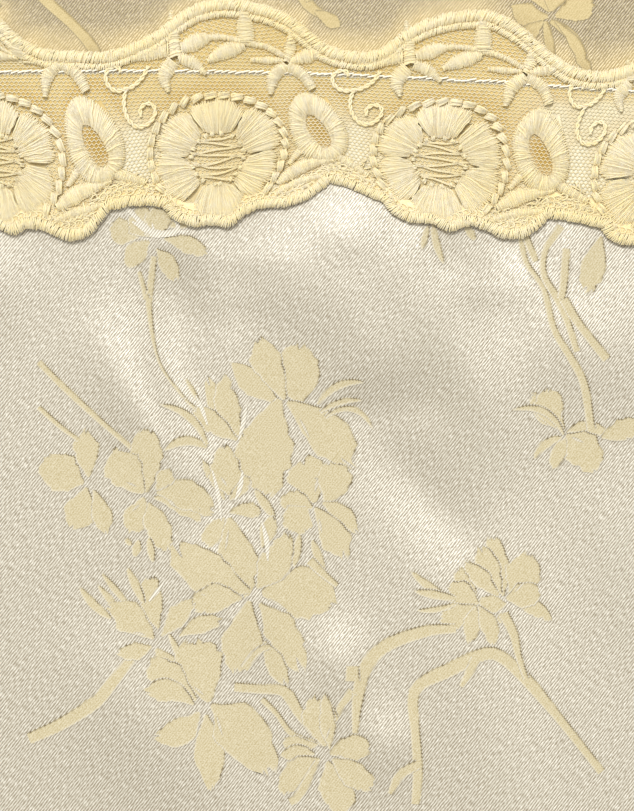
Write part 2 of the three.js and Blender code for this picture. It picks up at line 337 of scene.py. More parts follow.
@dataclass(frozen=True)
class DressForm:
    """The laid-out dress's shape, in millimetres, heights measured up from the lowest point of the hem."""

    length: float = 1400
    cloth: float = 1.2
    gap: float = 0.3
    underarm_height: float = 1165
    armhole_top: float = 1335
    underarm_half: float = 235
    shoulder_half: float = 159
    armhole_roundness: float = 2.2
    shoulder_slope: float = 0.24
    shoulder_starts: float = 1300
    front_neck: float = 1235
    back_neck: float = 1330
    neck_half: float = 106
    neck_half_at_shoulder: float = 103
    neck_share: float = 0.5
    neck_arch: float = 3.9e-4
    neck_arch_reach: float = 65
    back_scoop: float = 12
    back_scoop_reach: float = 50
    hem_rise: float = 30
    hem_rise_fade: float = 420
    bodice_starts: float = 900
    edge_lies_flat: float = 18
    side_seam: tuple[tuple[float, float], ...] = (
        (0, 395), (250, 352), (500, 306), (780, 253), (900, 223), (990, 209), (1080, 219), (1165, 235),
    )

    @property
    def front_top(self) -> float:
        """Height of the front's outer face where it lies flat."""
        return 2 * self.cloth + self.gap

    def half_width(self, height: Array) -> Array:
        """Follows the side seam and then the rounded armhole.

        Args:
            height: heights up the dress.

        Returns:
            Half the dress's width at each.
        """
        seam = along(self.side_seam, np.minimum(height, self.underarm_height))
        up = np.clip((self.armhole_top - height) / (self.armhole_top - self.underarm_height), 0, 1)
        inward = (1 - up**self.armhole_roundness) ** (1 / self.armhole_roundness)
        armhole = self.underarm_half - (self.underarm_half - self.shoulder_half) * inward
        return np.where(height <= self.underarm_height, seam, armhole)

    def neck_split(self, height: Array) -> Array:
        """Finds where each row parts into its middle and its two strap columns.

        Args:
            height: heights up the dress.

        Returns:
            The distance of that place from the centre line.
        """
        on_skirt = self.neck_share * along(self.side_seam, np.minimum(height, self.underarm_height))
        up_strap = np.clip((height - self.front_neck) / (self.length - self.front_neck), 0, 1)
        on_strap = mix(self.neck_half, self.neck_half_at_shoulder, up_strap)
        up_bodice = (height - self.bodice_starts) / (self.front_neck - self.bodice_starts)
        return mix(on_skirt, on_strap, soft(up_bodice))

    def place(self, column: Array, height: Array) -> tuple[Array, Array]:
        """Finds the place on the cloth of a column, -1 to 1 with the straps' inner edges at +-0.5, and a row.

        Args:
            column: the columns.
            height: the rows' heights.

        Returns:
            x across the dress and the height up it.
        """
        out = np.abs(column)
        neck, half = self.neck_split(height), self.half_width(height)
        x = np.where(out <= 0.5, neck * out * 2, mix(neck, half, out * 2 - 1))
        hem = self.hem_rise * (x / half) ** 2 * (1 - soft(height / self.hem_rise_fade))
        near = 1 - soft(np.abs(height - self.front_neck) / self.neck_arch_reach)
        arch = self.neck_arch * np.minimum(x, self.neck_half) ** 2 * near
        up = soft((height - self.shoulder_starts) / (self.length - self.shoulder_starts))
        shoulder = self.shoulder_slope * np.maximum(0, x - self.neck_half_at_shoulder) * up
        return np.sign(column) * x, height + hem - arch - shoulder

    def scoop(self, x: Array, height: Array) -> Array:
        """How far the back neckline dips at x."""
        near = 1 - soft(np.abs(height - self.back_neck) / self.back_scoop_reach)
        return self.back_scoop * np.maximum(0, 1 - (x / self.neck_half) ** 2) * near

    def crease_lift(self, creases: Iterable[Crease], x: Array, height: Array) -> Array:
        """Adds up soft ridges along lines.

        Args:
            creases: the ridges and troughs.
            x: places across.
            height: places up the dress.

        Returns:
            How high they lift the cloth at each place.
        """
        lift = np.zeros_like(x)
        for c in creases:
            run_x, run_y = c.to_x - c.from_x, c.to_height - c.from_height
            length = math.hypot(run_x, run_y)
            t = ((x - c.from_x) * run_x + (height - c.from_height) * run_y) / length**2
            across = ((x - c.from_x) * run_y - (height - c.from_height) * run_x) / length / c.breadth
            ends = np.where((t > 0) & (t < 1), np.sin(np.pi * np.clip(t, 0, 1)) ** 2, 0)
            lift += c.rise * ends * np.exp(-across * across)
        return lift

    def front_lift(self, x: Array, height: Array) -> Array:
        """Finds how far the front stands above the back that it lies on.

        Args:
            x: places across.
            height: places up the dress.

        Returns:
            The rise at each place, nothing at the side seams.
        """
        half = self.half_width(height)
        lift = np.zeros_like(x)
        for fold in SKIRT_FOLDS:
            down = np.maximum(0, 1 - height / fold.top)
            across = (x - fold.at * half) / (fold.breadth * (0.55 + 0.45 * down))
            lift += fold.rise * soft(down) * np.exp(-across * across)
        lift += self.crease_lift(BODICE_CREASES, x, height)
        lift += self.crease_lift(NECK_PUCKERS, x, height)
        lift += self.crease_lift(SWELLS, x, height)
        return lift * soft((half - np.abs(x)) / self.edge_lies_flat)

    def front_z(self, x: Array, height: Array) -> Array:
        """The front's outer face."""
        return self.front_top + self.front_lift(x, height)


FORM = DressForm()


def to_world(x: Array, height: Array, z: Array) -> Array:
    """Turns x, height up the dress and z, in millimetres, into places in the shared frame, in metres."""
    return np.stack(np.broadcast_arrays(x, height - FORM.length / 2, z), axis=-1) * MM


# ---------------------------------------------------------------- finishes


@dataclass(frozen=True)
class Twill:
    """The satin's diagonal float lines, rising to the right, and the short floats that each is laid from.

    The pitch is in millimetres. The real floats are about 0.1 mm broad; they are drawn twice as broad, so
    that the lines still look broken where a pixel covers 0.2 mm.
    """

    pitch: float = 0.49
    normal_deg: float = -38.0
    float_ratio: float = 0.22
    float_scale: float = 4800.0
    wander_scale: float = 200.0
    wander: float = 1.3

    def weave(self, add: Adder, place: bpy.types.NodeSocket) -> tuple[bpy.types.Node, bpy.types.Node]:
        """Adds the weave to a material.

        Args:
            add: add_node, bound to the material's tree.
            place: the cloth's place, in metres.

        Returns:
            The lines, 1 along the top of one and 0 between two, and the floats, 0 to 1 about a half.
        """
        (x, y), _ = heading(math.radians(self.normal_deg))
        over = add("VectorMath", {0: place, 1: (x, y, 0.0)}, operation="DOT_PRODUCT")
        drawn_out = (-y * self.float_ratio, x * self.float_ratio, 0.0)
        run = add("VectorMath", {0: place, 1: drawn_out}, operation="DOT_PRODUCT")
        phase = add("Math", {0: over, 1: 2 * math.pi / (self.pitch * MM)}, operation="MULTIPLY")
        sway = add("TexNoise", {"Vector": place, "Scale": self.wander_scale, "Detail": 1.0})
        wave = add("Math", {0: add("Math", {0: sway, 1: self.wander, 2: phase}, **SCALED)}, operation="SINE")
        lines = add("Math", {0: wave, 1: 0.5, 2: 0.5}, **SCALED)
        turned = add("CombineXYZ", {0: over, 1: run})
        return lines, add("TexNoise", {"Vector": turned, "Scale": self.float_scale, "Detail": 1.0})


@dataclass(frozen=True)
class SatinFinish:
    """Silk-look satin in warp-faced weave.

    It was woven with long warp floats of filament yarn that lie side by side in fine diagonal lines, then
    pressed. The eye gets a bright broken streak along each line, a dull seam between two, and a soft lustre
    over every swell of the cloth. The glow colour is painted light: the golden glow that the lace throws
    on the cloth beside it.
    """

    name: str = "ivory satin"
    float_colour: str = "D4CFC0"
    gap_colour: str = "8C8069"
    glint_colour: str = "F6F4EC"
    lustre: float = 0.14
    roughness: float = 0.4
    sheen: float = 0.1
    relief: float = 0.035
    contrast: float = 2.1
    glint_gain: float = 4.0
    glint_from: float = 0.6
    glow_colour: str = ""
    twill: Twill = field(default_factory=Twill)

    def material(self) -> bpy.types.Material:
        """Builds the satin.

        Returns:
            Its material, which reads the lace's painted glow from a vertex attribute where there is a glow.
        """
        material, add, place = start_material(self.name)
        lines, dashes = self.twill.weave(add, place)
        broken = add("Math", {0: dashes, 1: self.contrast, 2: -self.contrast / 2}, **SCALED)
        level = add("Math", {0: lines, 1: broken}, operation="ADD", use_clamp=True)
        colour = add("Mix", {0: level, 6: self.gap_colour, 7: self.float_colour}, **COLOURED)
        high = add("Math", {0: dashes, 1: self.glint_gain, 2: -self.glint_gain * self.glint_from}, **CLAMPED)
        glint = add("Math", {0: high, 1: lines}, operation="MULTIPLY")
        colour = add("Mix", {0: glint, 6: colour, 7: self.glint_colour}, **COLOURED)
        # Painted light: the lace's golden glow, mixed into the satin's colour.
        if self.glow_colour:
            painted_lace_glow = add("Attribute", attribute_name="painted_lace_glow").outputs["Fac"]
            colour = add("Mix", {0: painted_lace_glow, 6: colour, 7: self.glow_colour}, **COLOURED)
        shader = add(
            "BsdfPrincipled",
            {
                "Base Color": colour,
                "Metallic": self.lustre,
                "Roughness": self.roughness,
                "IOR": 1.5,
                "Specular IOR Level": 1.0,
                "Sheen Weight": self.sheen,
                "Normal": add("Bump", {"Height": level, "Distance": self.relief * MM, "Strength": 1.0}),
            },
        )
        add("OutputMaterial", {"Surface": shader})
        return material


@dataclass(frozen=True)
class MatteFinish:
    """Spun cotton yarn.

    It was spun from short fibres, so it is matt, with a fine fuzzy grain and a slow drift of colour where the
    dye took unevenly. The eye gets soft, slightly translucent threads that keep their colour in the shade.
    """

    name: str
    colour: str
    drift_colour: str
    roughness: float = 0.85
    # A fibre is about 0.02 mm thick; the grain is that of the spinning, about 1 mm, and the drift's 17 mm.
    grain: float = 900.0
    drift: float = 60.0
    drift_gain: float = 3.4
    drift_cut: float = 0.35
    sheen: float = 0.25
    relief: float = 0.05
    translucency: float = 0.0
    softness: float = 0.0
    soft_depth: float = 0.7
    soft_reach: tuple[float, float, float] = (1.0, 0.88, 0.66)

    def material(self) -> bpy.types.Material:
        """Builds the yarn.

        Returns:
            Its material.
        """
        material, add, place = start_material(self.name)
        fibre = add("TexNoise", {"Vector": place, "Scale": self.grain, "Detail": 3.0})
        drift = add("TexNoise", {"Vector": place, "Scale": self.drift, "Detail": 1.0})
        blend = add("Math", {0: fibre, 1: drift}, operation="MULTIPLY")
        level = add("Math", {0: blend, 1: self.drift_gain, 2: -self.drift_cut}, **CLAMPED)
        surface = add(
            "BsdfPrincipled",
            {
                "Base Color": add("Mix", {0: level, 6: self.drift_colour, 7: self.colour}, **COLOURED),
                "Roughness": self.roughness,
                "Specular IOR Level": 0.25,
                "Sheen Weight": self.sheen,
                "Subsurface Weight": self.softness,
                "Subsurface Radius": self.soft_reach,
                "Subsurface Scale": self.soft_depth * MM,
                "Normal": add("Bump", {"Height": fibre, "Distance": self.relief * MM, "Strength": 0.8}),
            },
        )
        if self.translucency:
            glow = add("BsdfTranslucent", {"Color": self.drift_colour})
            surface = add("MixShader", {0: self.translucency, 1: surface, 2: glow})
        add("OutputMaterial", {"Surface": surface})
        return material


@dataclass(frozen=True)
class NetFilaments:
    """Single cotton filaments of the net, too fine to see one by one.

    They worked loose from its threads and span its cells. The eye gets a veil of pale gold over the satin,
    thin low down. Its colour carries painted light: a whitish painted highlight where the satin's sheen
    seems to shine through, low down and at the right end, and deep gold painted shade beside the flowers,
    round the ring leaves and in them.
    """

    name: str = "loose filaments of golden net"
    colour: str = "FCE7A6"
    pale_highlight_colour: str = "FFFCEC"
    painted_shade_colour: str = "D0AF60"
    glow_colour: str = "F9EFB8"
    cover: float = 0.74
    # The filaments are about 0.02 mm thick; they are drawn as clumps of about 0.9 mm, one to a cell.
    clump_scale: float = 1100.0
    clump_gain: float = 0.5
    open_gain: float = 0.3
    shade_cover_gain: float = 0.4
    translucency: float = 0.2

    def material(self) -> bpy.types.Material:
        """Builds the veil.

        Returns:
            Its material, which reads two vertex attributes: the filaments' density, low where they are
            painted pale as a highlight, and the painted shade by the embroidery.
        """
        material, add, place = start_material(self.name)
        clump = add("TexNoise", {"Vector": place, "Scale": self.clump_scale, "Detail": 2.0})
        close_no_highlight = add("Attribute", attribute_name="closeness_and_no_highlight").outputs["Fac"]
        embroidery_shade = add("Attribute", attribute_name="painted_embroidery_shade").outputs["Fac"]
        even = add("Math", {0: clump, 1: self.clump_gain, 2: self.cover - self.clump_gain / 2}, **SCALED)
        # Low density thins the veil and paints it pale: a painted highlight of the satin's sheen beneath.
        thin = add("Math", {0: close_no_highlight, 1: -self.open_gain, 2: 1 + self.open_gain}, **SCALED)
        spread = add("Math", {0: even, 1: thin}, operation="MULTIPLY", use_clamp=True)
        # Painted shade beside and in the embroidery: the veil thickens and turns deep gold.
        cover = add("Math", {0: embroidery_shade, 1: self.shade_cover_gain, 2: spread}, **CLAMPED)
        hue = add("Mix", {0: close_no_highlight, 6: self.pale_highlight_colour, 7: self.colour}, **COLOURED)
        tint = add("Mix", {0: embroidery_shade, 6: hue, 7: self.painted_shade_colour}, **COLOURED)
        matt = add("BsdfDiffuse", {"Color": tint, "Roughness": 0.6})
        glow = add("BsdfTranslucent", {"Color": self.glow_colour})
        filament = add("MixShader", {0: self.translucency, 1: matt, 2: glow})
        veil = add("MixShader", {0: cover, 1: add("BsdfTransparent"), 2: filament})
        add("OutputMaterial", {"Surface": veil})
        return material


# ---------------------------------------------------------------- the panels


class Side(Enum):
    """Which panel of the dress."""

    FRONT = "front"
    BACK = "back"


@dataclass
class Panel:
    """One panel of the dress, cut in one with its two shoulder straps, as a thin shell on the form."""

    side: Side
    shown: SatinFinish
    reverse: SatinFinish
    slot: str
    thickness: float = 0.8
    fine_from: float = 1080
    fine_columns: int = 104
    side_columns: int = 28
    fine_rows: int = 84
    skirt_rows: int = 130
    strap_rows: int = 16
    seam_edge: float = 0.9
    seam_inset: float = 1.2
    seam_roll: float = 0.5
    seam_roll_reach: float = 5.0
    # How strong the lace's painted glow on the satin is, and how far above the lace it fades, in millimetres.
    glow: float = 0.62
    glow_reach: float = 2.2

    @property
    def neck(self) -> float:
        """The height of this panel's neckline."""
        return FORM.front_neck if self.side is Side.FRONT else FORM.back_neck

    def columns(self) -> Array:
        """Places the columns from side seam to side seam.

        Returns:
            The columns, from -1 to 1.
        """
        left = np.concatenate([[-1.0, -0.992], np.linspace(-0.975, -0.5, self.side_columns)])
        middle = np.linspace(-0.5, 0.5, self.fine_columns + 1)
        return np.concatenate([left, middle[1:], -left[::-1][1:]])

    def rows(self) -> Array:
        """Places the rows from the hem to the shoulders, with one on the neckline.

        Returns:
            Their heights.
        """
        skirt = np.linspace(0, self.fine_from, self.skirt_rows + 1)
        bodice = np.linspace(self.fine_from, self.neck, self.fine_rows + 1)
        strap = np.linspace(self.neck, FORM.length, self.strap_rows + 1)
        return np.concatenate([skirt, bodice[1:], strap[1:]])

    def build(self) -> bpy.types.Object:
        """Builds the panel's shell and its finish.

        Returns:
            The panel's object.
        """
        columns, rows = self.columns(), self.rows()
        bm = bmesh.new()
        painted_lace_glow = bm.verts.layers.float.new("painted_lace_glow")
        corners, across, up = add_grid(bm, len(columns), len(rows))
        column, height = columns[across], rows[up]
        bm.verts.index_update()
        in_neck = (height > self.neck - 0.01) & (np.abs(column) < 0.5 + 1e-6)
        open_faces = [face for face in bm.faces if all(in_neck[v.index] for v in face.verts)]
        x, reach = FORM.place(column, height)
        if self.side is Side.FRONT:
            z = FORM.front_z(x, reach)
            z -= self.seam_roll * (1 - soft((FORM.half_width(reach) - np.abs(x)) / self.seam_roll_reach))
            z[(np.abs(column) == 1) & (height <= FORM.underarm_height)] = self.seam_edge
        else:
            reach = reach - FORM.scoop(x, height)
            z = np.full_like(x, FORM.cloth)
            x -= np.sign(x) * self.seam_inset * (np.abs(column) > 0.98)
        # Painted light: the lace's golden glow on the satin, full below the lace's upper edge and fading
        # above it.
        over = reach - (FORM.front_neck - FORM.neck_arch * x * x + along(LACE.crest, x))
        glow = self.glow * np.exp(-np.maximum(0, over) / self.glow_reach)
        set_corners(corners, to_world(x, reach, z), (painted_lace_glow, glow))
        bmesh.ops.delete(bm, geom=open_faces, context="FACES")
        bmesh.ops.recalc_face_normals(bm, faces=bm.faces)
        if sum(face.normal.z for face in bm.faces) < 0:
            bmesh.ops.reverse_faces(bm, faces=bm.faces)
        mesh = to_mesh(bm, self.side.value)
        piece = new_piece(f"{self.side.value}_shell", mesh, self.shown.material())
        mesh.materials.append(self.reverse.material())
        wall = piece.modifiers.new("wall", "SOLIDIFY")
        wall.thickness = self.thickness * MM
        wall.offset = -1
        wall.material_offset = 1
        wall.material_offset_rim = 1 if self.side is Side.BACK else 0
        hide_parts(f"{self.side.value}_panel")
        return piece


# ---------------------------------------------------------------- the lace


@dataclass(frozen=True)
class LaceForm:
    """The galloon's layout in millimetres: s runs along it from its middle, q up from the neckline."""

    half: float = 112
    repeat: float = 45
    flower_at: float = 20
    fan: float = 900
    lies_at: float = 3.0
    low_curl: float = 0.6
    top_level: float = 8.4
    top_swing: float = 5.4
    top_lead: float = 4
    low_edge: tuple[tuple[float, float], ...] = (
        (-22.5, 25.4), (-18, 25.6), (-13, 26.5), (-10.5, 27.2), (-8.5, 29.2), (-5, 30.1), (-1, 29.6),
        (3, 30.5), (6, 28.9), (10, 28.8), (14, 29.9), (18, 29.4), (20.5, 27.6), (22.5, 25.4),
    )
    # How far the part below the neckline is drawn down or up, and the part above it.
    depth: tuple[tuple[float, float], ...] = (
        (-112, 1.0), (-80, 0.93), (-60, 0.98), (-30, 1.02), (-8, 1.13), (8, 1.01), (20, 1.03), (40, 0.85),
        (52, 0.92), (65, 0.98), (84, 1.04), (112, 1.0),
    )
    # The upper edge's true height above the neckline, and how far the vine beside it is pulled to the right.
    crest: tuple[tuple[float, float], ...] = (
        (-112, 4.0), (-100, 7.0), (-88, 13.0), (-78, 13.6), (-68, 8.6), (-60, 4.2), (-54, 3.6), (-46, 8.0),
        (-38, 13.2), (-31, 13.8), (-25, 11.4), (-20, 6.8), (-15, 4.4), (-8, 3.8), (-3, 3.7), (2, 5.0),
        (8, 8.0), (12, 11.2), (16, 13.5), (21, 14.4), (27, 13.6), (31, 12.4), (34, 10.8), (37, 8.6),
        (40, 6.2), (46, 4.6), (52, 5.3), (57, 9.4), (62, 12.1), (68, 13.7), (73, 13.8), (77.5, 11.9),
        (81, 9.5), (85, 6.4), (90, 3.9), (96, 3.4), (103, 6.0), (112, 12.0),
    )
    sway: tuple[tuple[float, float], ...] = (
        (-112, 0), (42, 0), (54, 1.2), (70, 1.8), (79, 2.5), (88, 2.2), (100, 0.4), (112, 0),
    )

    def phase(self, s: Array, lead: float = 0.0) -> Array:
        """Distance along the lace from the nearest flower's centre, plus lead."""
        turns = (s - self.flower_at - lead) / self.repeat
        return (turns - np.rint(turns)) * self.repeat

    def top(self, s: Array) -> Array:
        """The upper edge."""
        turn = 2 * np.pi * self.phase(s, self.top_lead) / self.repeat
        return self.top_level + self.top_swing * np.cos(turn)

    def low(self, s: Array) -> Array:
        """The lower edge."""
        return -along(self.low_edge, self.phase(s))

    def place(self, s: Array, q: Array, z: Array, plain: bool = False) -> Array:
        """Finds the place in the shared frame of a point of the lace.

        Args:
            s: places along the lace.
            q: places up it from the neckline.
            z: heights above its underside.
            plain: whether q is already the true height above the neckline.

        Returns:
            The places, in metres.
        """
        if plain:
            reach = q
        else:
            swayed = s + along(self.sway, s) * soft((q + 12) / 10)
            ratio = along(self.crest, swayed) / self.top(s)
            reach = q * np.where(q < 0, along(self.depth, s), mix(1.0, ratio, soft(q / 5)))
            s = swayed
        height = FORM.front_neck - FORM.neck_arch * s * s + reach
        x = s * (1 + reach / self.fan)
        follow = FORM.front_lift(x, np.minimum(height, FORM.front_neck))
        curl = self.low_curl * soft((-22 - reach) / 8)
        return to_world(x, height, self.lies_at + follow + curl + z)


LACE = LaceForm()


@dataclass
class ThreadWork:
    """Collects the paths of threads on the lace and makes them one mesh of thin tubes over their padding."""

    sides: int = 4
    seed: int = 7
    bed_share: float = 0.25
    wave_share: float = 1.6
    uneven_height: float = 0.07
    thin_end: float = 0.86
    loop_step: float = 0.3
    ply_step: float = 0.32
    splines: list[tuple[Array, Array, bool]] = field(default_factory=list)
    beds: list[tuple[Array, bool]] = field(default_factory=list)

    def __post_init__(self) -> None:
        """Seeds the small unevenness of hand-guided stitches."""
        self.chance = np.random.default_rng(self.seed)

    def thread(self, points: Array, radius: float | Array, plain: bool = False) -> None:
        """Adds one thread.

        Args:
            points: rows of s, q and z, in millimetres.
            radius: the thread's radius, or one for each point.
            plain: whether q is already the true height above the neckline.
        """
        if np.abs(points[:, 0]).max() > LACE.half:
            return
        self.splines.append((points, np.broadcast_to(radius, len(points)), plain))

    def satin(
        self, rail_a: Path, rail_b: Path, crown: float, radius: float = 0.2, base: float = 0.2,
        points: int = 5, loose: float = 0.06, plain: bool = False,
    ) -> None:
        """Fills the strip between two rails with stitches laid side by side over a padding.

        Args:
            rail_a: one edge, a row of s and q for each stitch.
            rail_b: the other edge, with as many rows.
            crown: how high the padding lifts the stitches.
            radius: the thread's radius.
            base: height of the stitches' ends.
            points: points along each stitch.
            loose: how far a stitch strays.
            plain: whether q is already the true height above the neckline.
        """
        w = np.linspace(0, 1, points)
        lift = base + crown * (1 - np.abs(2 * w - 1) ** 3)
        self.bed(rail_a, rail_b, crown, base + self.bed_share * radius, plain)
        count = len(rail_a)
        stray = self.chance.normal(0, loose, (count, 2, 2))
        wave = self.chance.normal(0, loose * self.wave_share, count)
        turns = self.chance.uniform(1.0, 2.4, count)
        high = self.chance.normal(1, self.uneven_height, count)
        for i in range(count):
            a, b = rail_a[i] + stray[i, 0], rail_b[i] + stray[i, 1]
            run = b - a
            side = np.array([-run[1], run[0]]) / max(1e-6, math.hypot(*run))
            flat = a + run * w[:, None] + side * (wave[i] * np.sin(np.pi * w * turns[i] * 2))[:, None]
            thick = radius * high[i] * (self.thin_end + 2 * (1 - self.thin_end) * np.sin(np.pi * w))
            self.thread(np.column_stack([flat, lift * high[i]]), thick, plain)

    def bed(self, rail_a: Path, rail_b: Path, crown: float, base: float, plain: bool) -> None:
        """Lays a soft felt bed along a strip, for its stitches to cover.

        Args:
            rail_a: one edge.
            rail_b: the other edge.
            crown: how high the stitches rise over it.
            base: height of its edges.
            plain: whether q is already the true height above the neckline.
        """
        step = 2 if len(rail_a) >= 20 else 1
        # Its rows across the strip; the outermost two are tucked in under the lace.
        w = np.array([0.04, 0.14, 0.36, 0.64, 0.86, 0.96])
        high = base + crown * (1 - np.abs(2 * w - 1) ** 3)
        high[[0, -1]] = -0.1
        a, b = rail_a[::step, None], rail_b[::step, None]
        flat = a + (b - a) * w[:, None]
        heights = np.broadcast_to(high[:, None], flat.shape[:2] + (1,))
        self.beds.append((np.concatenate([flat, heights], axis=2), plain))

    def leaf(
        self, axis: Path, breadth: Sequence[float], crown: float = 0.7, slant: float = 0.0,
        pitch: float = 0.34, radius: float = 0.19, loose: float = 0.05, plain: bool = False,
    ) -> None:
        """Works a leaf, bar or cord: stitches across an axis.

        Args:
            axis: points of the middle line, s and q.
            breadth: the breadth at even steps along it.
            crown: how high its middle stands.
            slant: how far each stitch's far end runs ahead, in millimetres.
            pitch: distance from stitch to stitch.
            radius: the thread's radius.
            loose: how far a stitch strays.
            plain: whether q is already the true height above the neckline.
        """
        line, share = smooth_path(axis, pitch)
        run, side = directions(line)
        reach = side * even_read(breadth, share)[:, None] / 2 + run * slant / 2
        self.satin(line - reach, line + reach, crown, radius, loose=loose, plain=plain)

    def chain(
        self, path: Path, breadth: float = 1.15, link: float = 1.35, radius: float = 0.2,
        keep: Callable[[Array, Array], Array] | None = None,
    ) -> None:
        """Works a line of chain stitch, loop through loop.

        Args:
            path: points of its middle line, s and q.
            breadth: each loop's breadth.
            link: the step from loop to loop.
            radius: the thread's radius.
            keep: says where a loop may lie; without it they lie everywhere.
        """
        line, _ = smooth_path(path, self.loop_step)
        _, side = directions(line)
        far = np.arange(len(line)) * self.loop_step
        turn = np.linspace(0, 2 * np.pi, 9)
        swing = 0.5 - 0.5 * np.cos(turn)
        for start in np.arange(0, far[-1] - 2 * link, link):
            d = start + link * 1.35 * swing
            off = breadth * self.chance.uniform(0.42, 0.58) * np.sin(turn)
            at, way = [np.column_stack([np.interp(d, far, a[:, k]) for k in range(2)]) for a in (line, side)]
            flat = at + way * off[:, None]
            if keep is None or keep(*flat.T).all():
                self.thread(np.column_stack([flat, 0.3 + 0.22 * swing]), radius)

    def plied(self, path: Path, radius: float = 0.26, turn: float = 2.6, height: float = 0.45) -> None:
        """Lays a fine two-ply cord.

        Args:
            path: points of its middle line, s and q.
            radius: each ply's radius.
            turn: length of one full twist.
            height: height of its middle.
        """
        line, _ = smooth_path(path, self.ply_step)
        _, side = directions(line)
        angle = np.arange(len(line)) * self.ply_step / turn * 2 * np.pi
        for ply in (0.0, np.pi):
            flat = line + side * (np.cos(angle + ply) * radius * 0.95)[:, None]
            self.thread(np.column_stack([flat, height + 0.35 * radius * np.sin(angle + ply)]), radius)

    def mesh(self, name: str) -> bpy.types.Mesh:
        """Turns the threads into a mesh.

        Args:
            name: the mesh's name.

        Returns:
            One mesh of all the tubes.
        """
        profile = bpy.data.curves.new("profile", "CURVE")
        ring = profile.splines.new("POLY")
        ring.points.add(self.sides - 1)
        for k, point in enumerate(ring.points):
            angle = 2 * math.pi * k / self.sides + math.pi / self.sides
            point.co = (MM * math.cos(angle), MM * math.sin(angle), 0, 1)
        ring.use_cyclic_u = True
        curve = bpy.data.curves.new(name, "CURVE")
        curve.dimensions = "3D"
        curve.bevel_mode = "OBJECT"
        curve.bevel_object = bpy.data.objects.new("profile", profile)
        curve.use_fill_caps = True
        for plain in sorted({spline[2] for spline in self.splines}):
            paths, radii, _ = zip(*(spline for spline in self.splines if spline[2] is plain))
            every = np.vstack(paths)
            places = np.column_stack([LACE.place(*every.T, plain), np.ones(len(every))])
            parts = np.split(places, np.cumsum([len(path) for path in paths])[:-1])
            for part, radius in zip(parts, radii):
                spline = curve.splines.new("POLY")
                spline.points.add(len(part) - 1)
                spline.points.foreach_set("co", part.ravel())
                spline.points.foreach_set("radius", np.ascontiguousarray(radius, dtype=float))
        maker = add_object(name, curve)
        made = bpy.data.meshes.new_from_object(maker.evaluated_get(bpy.context.evaluated_depsgraph_get()))
        for helper in (maker, curve.bevel_object):
            bpy.data.objects.remove(helper)
        for shape in (curve, profile):
            bpy.data.curves.remove(shape)
        self.add_beds(made)
        return made

    def add_beds(self, mesh: bpy.types.Mesh) -> None:
        """Adds the padding to the threads' mesh.

        Args:
            mesh: the threads' mesh.
        """
        bm = bmesh.new()
        for points, plain in self.beds:
            rows, columns = points.shape[:2]
            if rows > 1 and np.abs(points[:, :, 0]).max() <= LACE.half:
                corners, column, row = add_grid(bm, columns, rows)
                set_corners(corners, LACE.place(*points[row, column].T, plain))
        bm.from_mesh(mesh)
        bm.to_mesh(mesh)
        bm.free()


def smooth_path(points: Path, pitch: float) -> tuple[Path, Array]:
    """Draws a smooth curve through points and divides it evenly.

    Args:
        points: the points, two or more.
        pitch: the distance between its divisions.

    Returns:
        The divided curve, and how far along it each division is, from 0 to 1.
    """
    points = np.asarray(points, dtype=float)
    if len(points) > 2:
        ends = np.vstack([2 * points[0] - points[1], points, 2 * points[-1] - points[-2]])
        t = np.linspace(0, 1, 12, endpoint=False)[:, None]
        pieces = []
        for a, b, c, d in zip(ends[:-3], ends[1:-2], ends[2:-1], ends[3:]):
            rise, turn, twist = c - a, 2 * a - 5 * b + 4 * c - d, 3 * b - a - 3 * c + d
            pieces.append(b + 0.5 * (rise * t + turn * t**2 + twist * t**3))
        points = np.vstack(pieces + [points[-1:]])
    steps = np.concatenate([[0], np.cumsum(np.linalg.norm(np.diff(points, axis=0), axis=1))])
    count = max(2, int(round(steps[-1] / pitch)) + 1)
    even = np.linspace(0, steps[-1], count)
    line = np.column_stack([np.interp(even, steps, points[:, k]) for k in range(2)])
    return line, even / steps[-1]


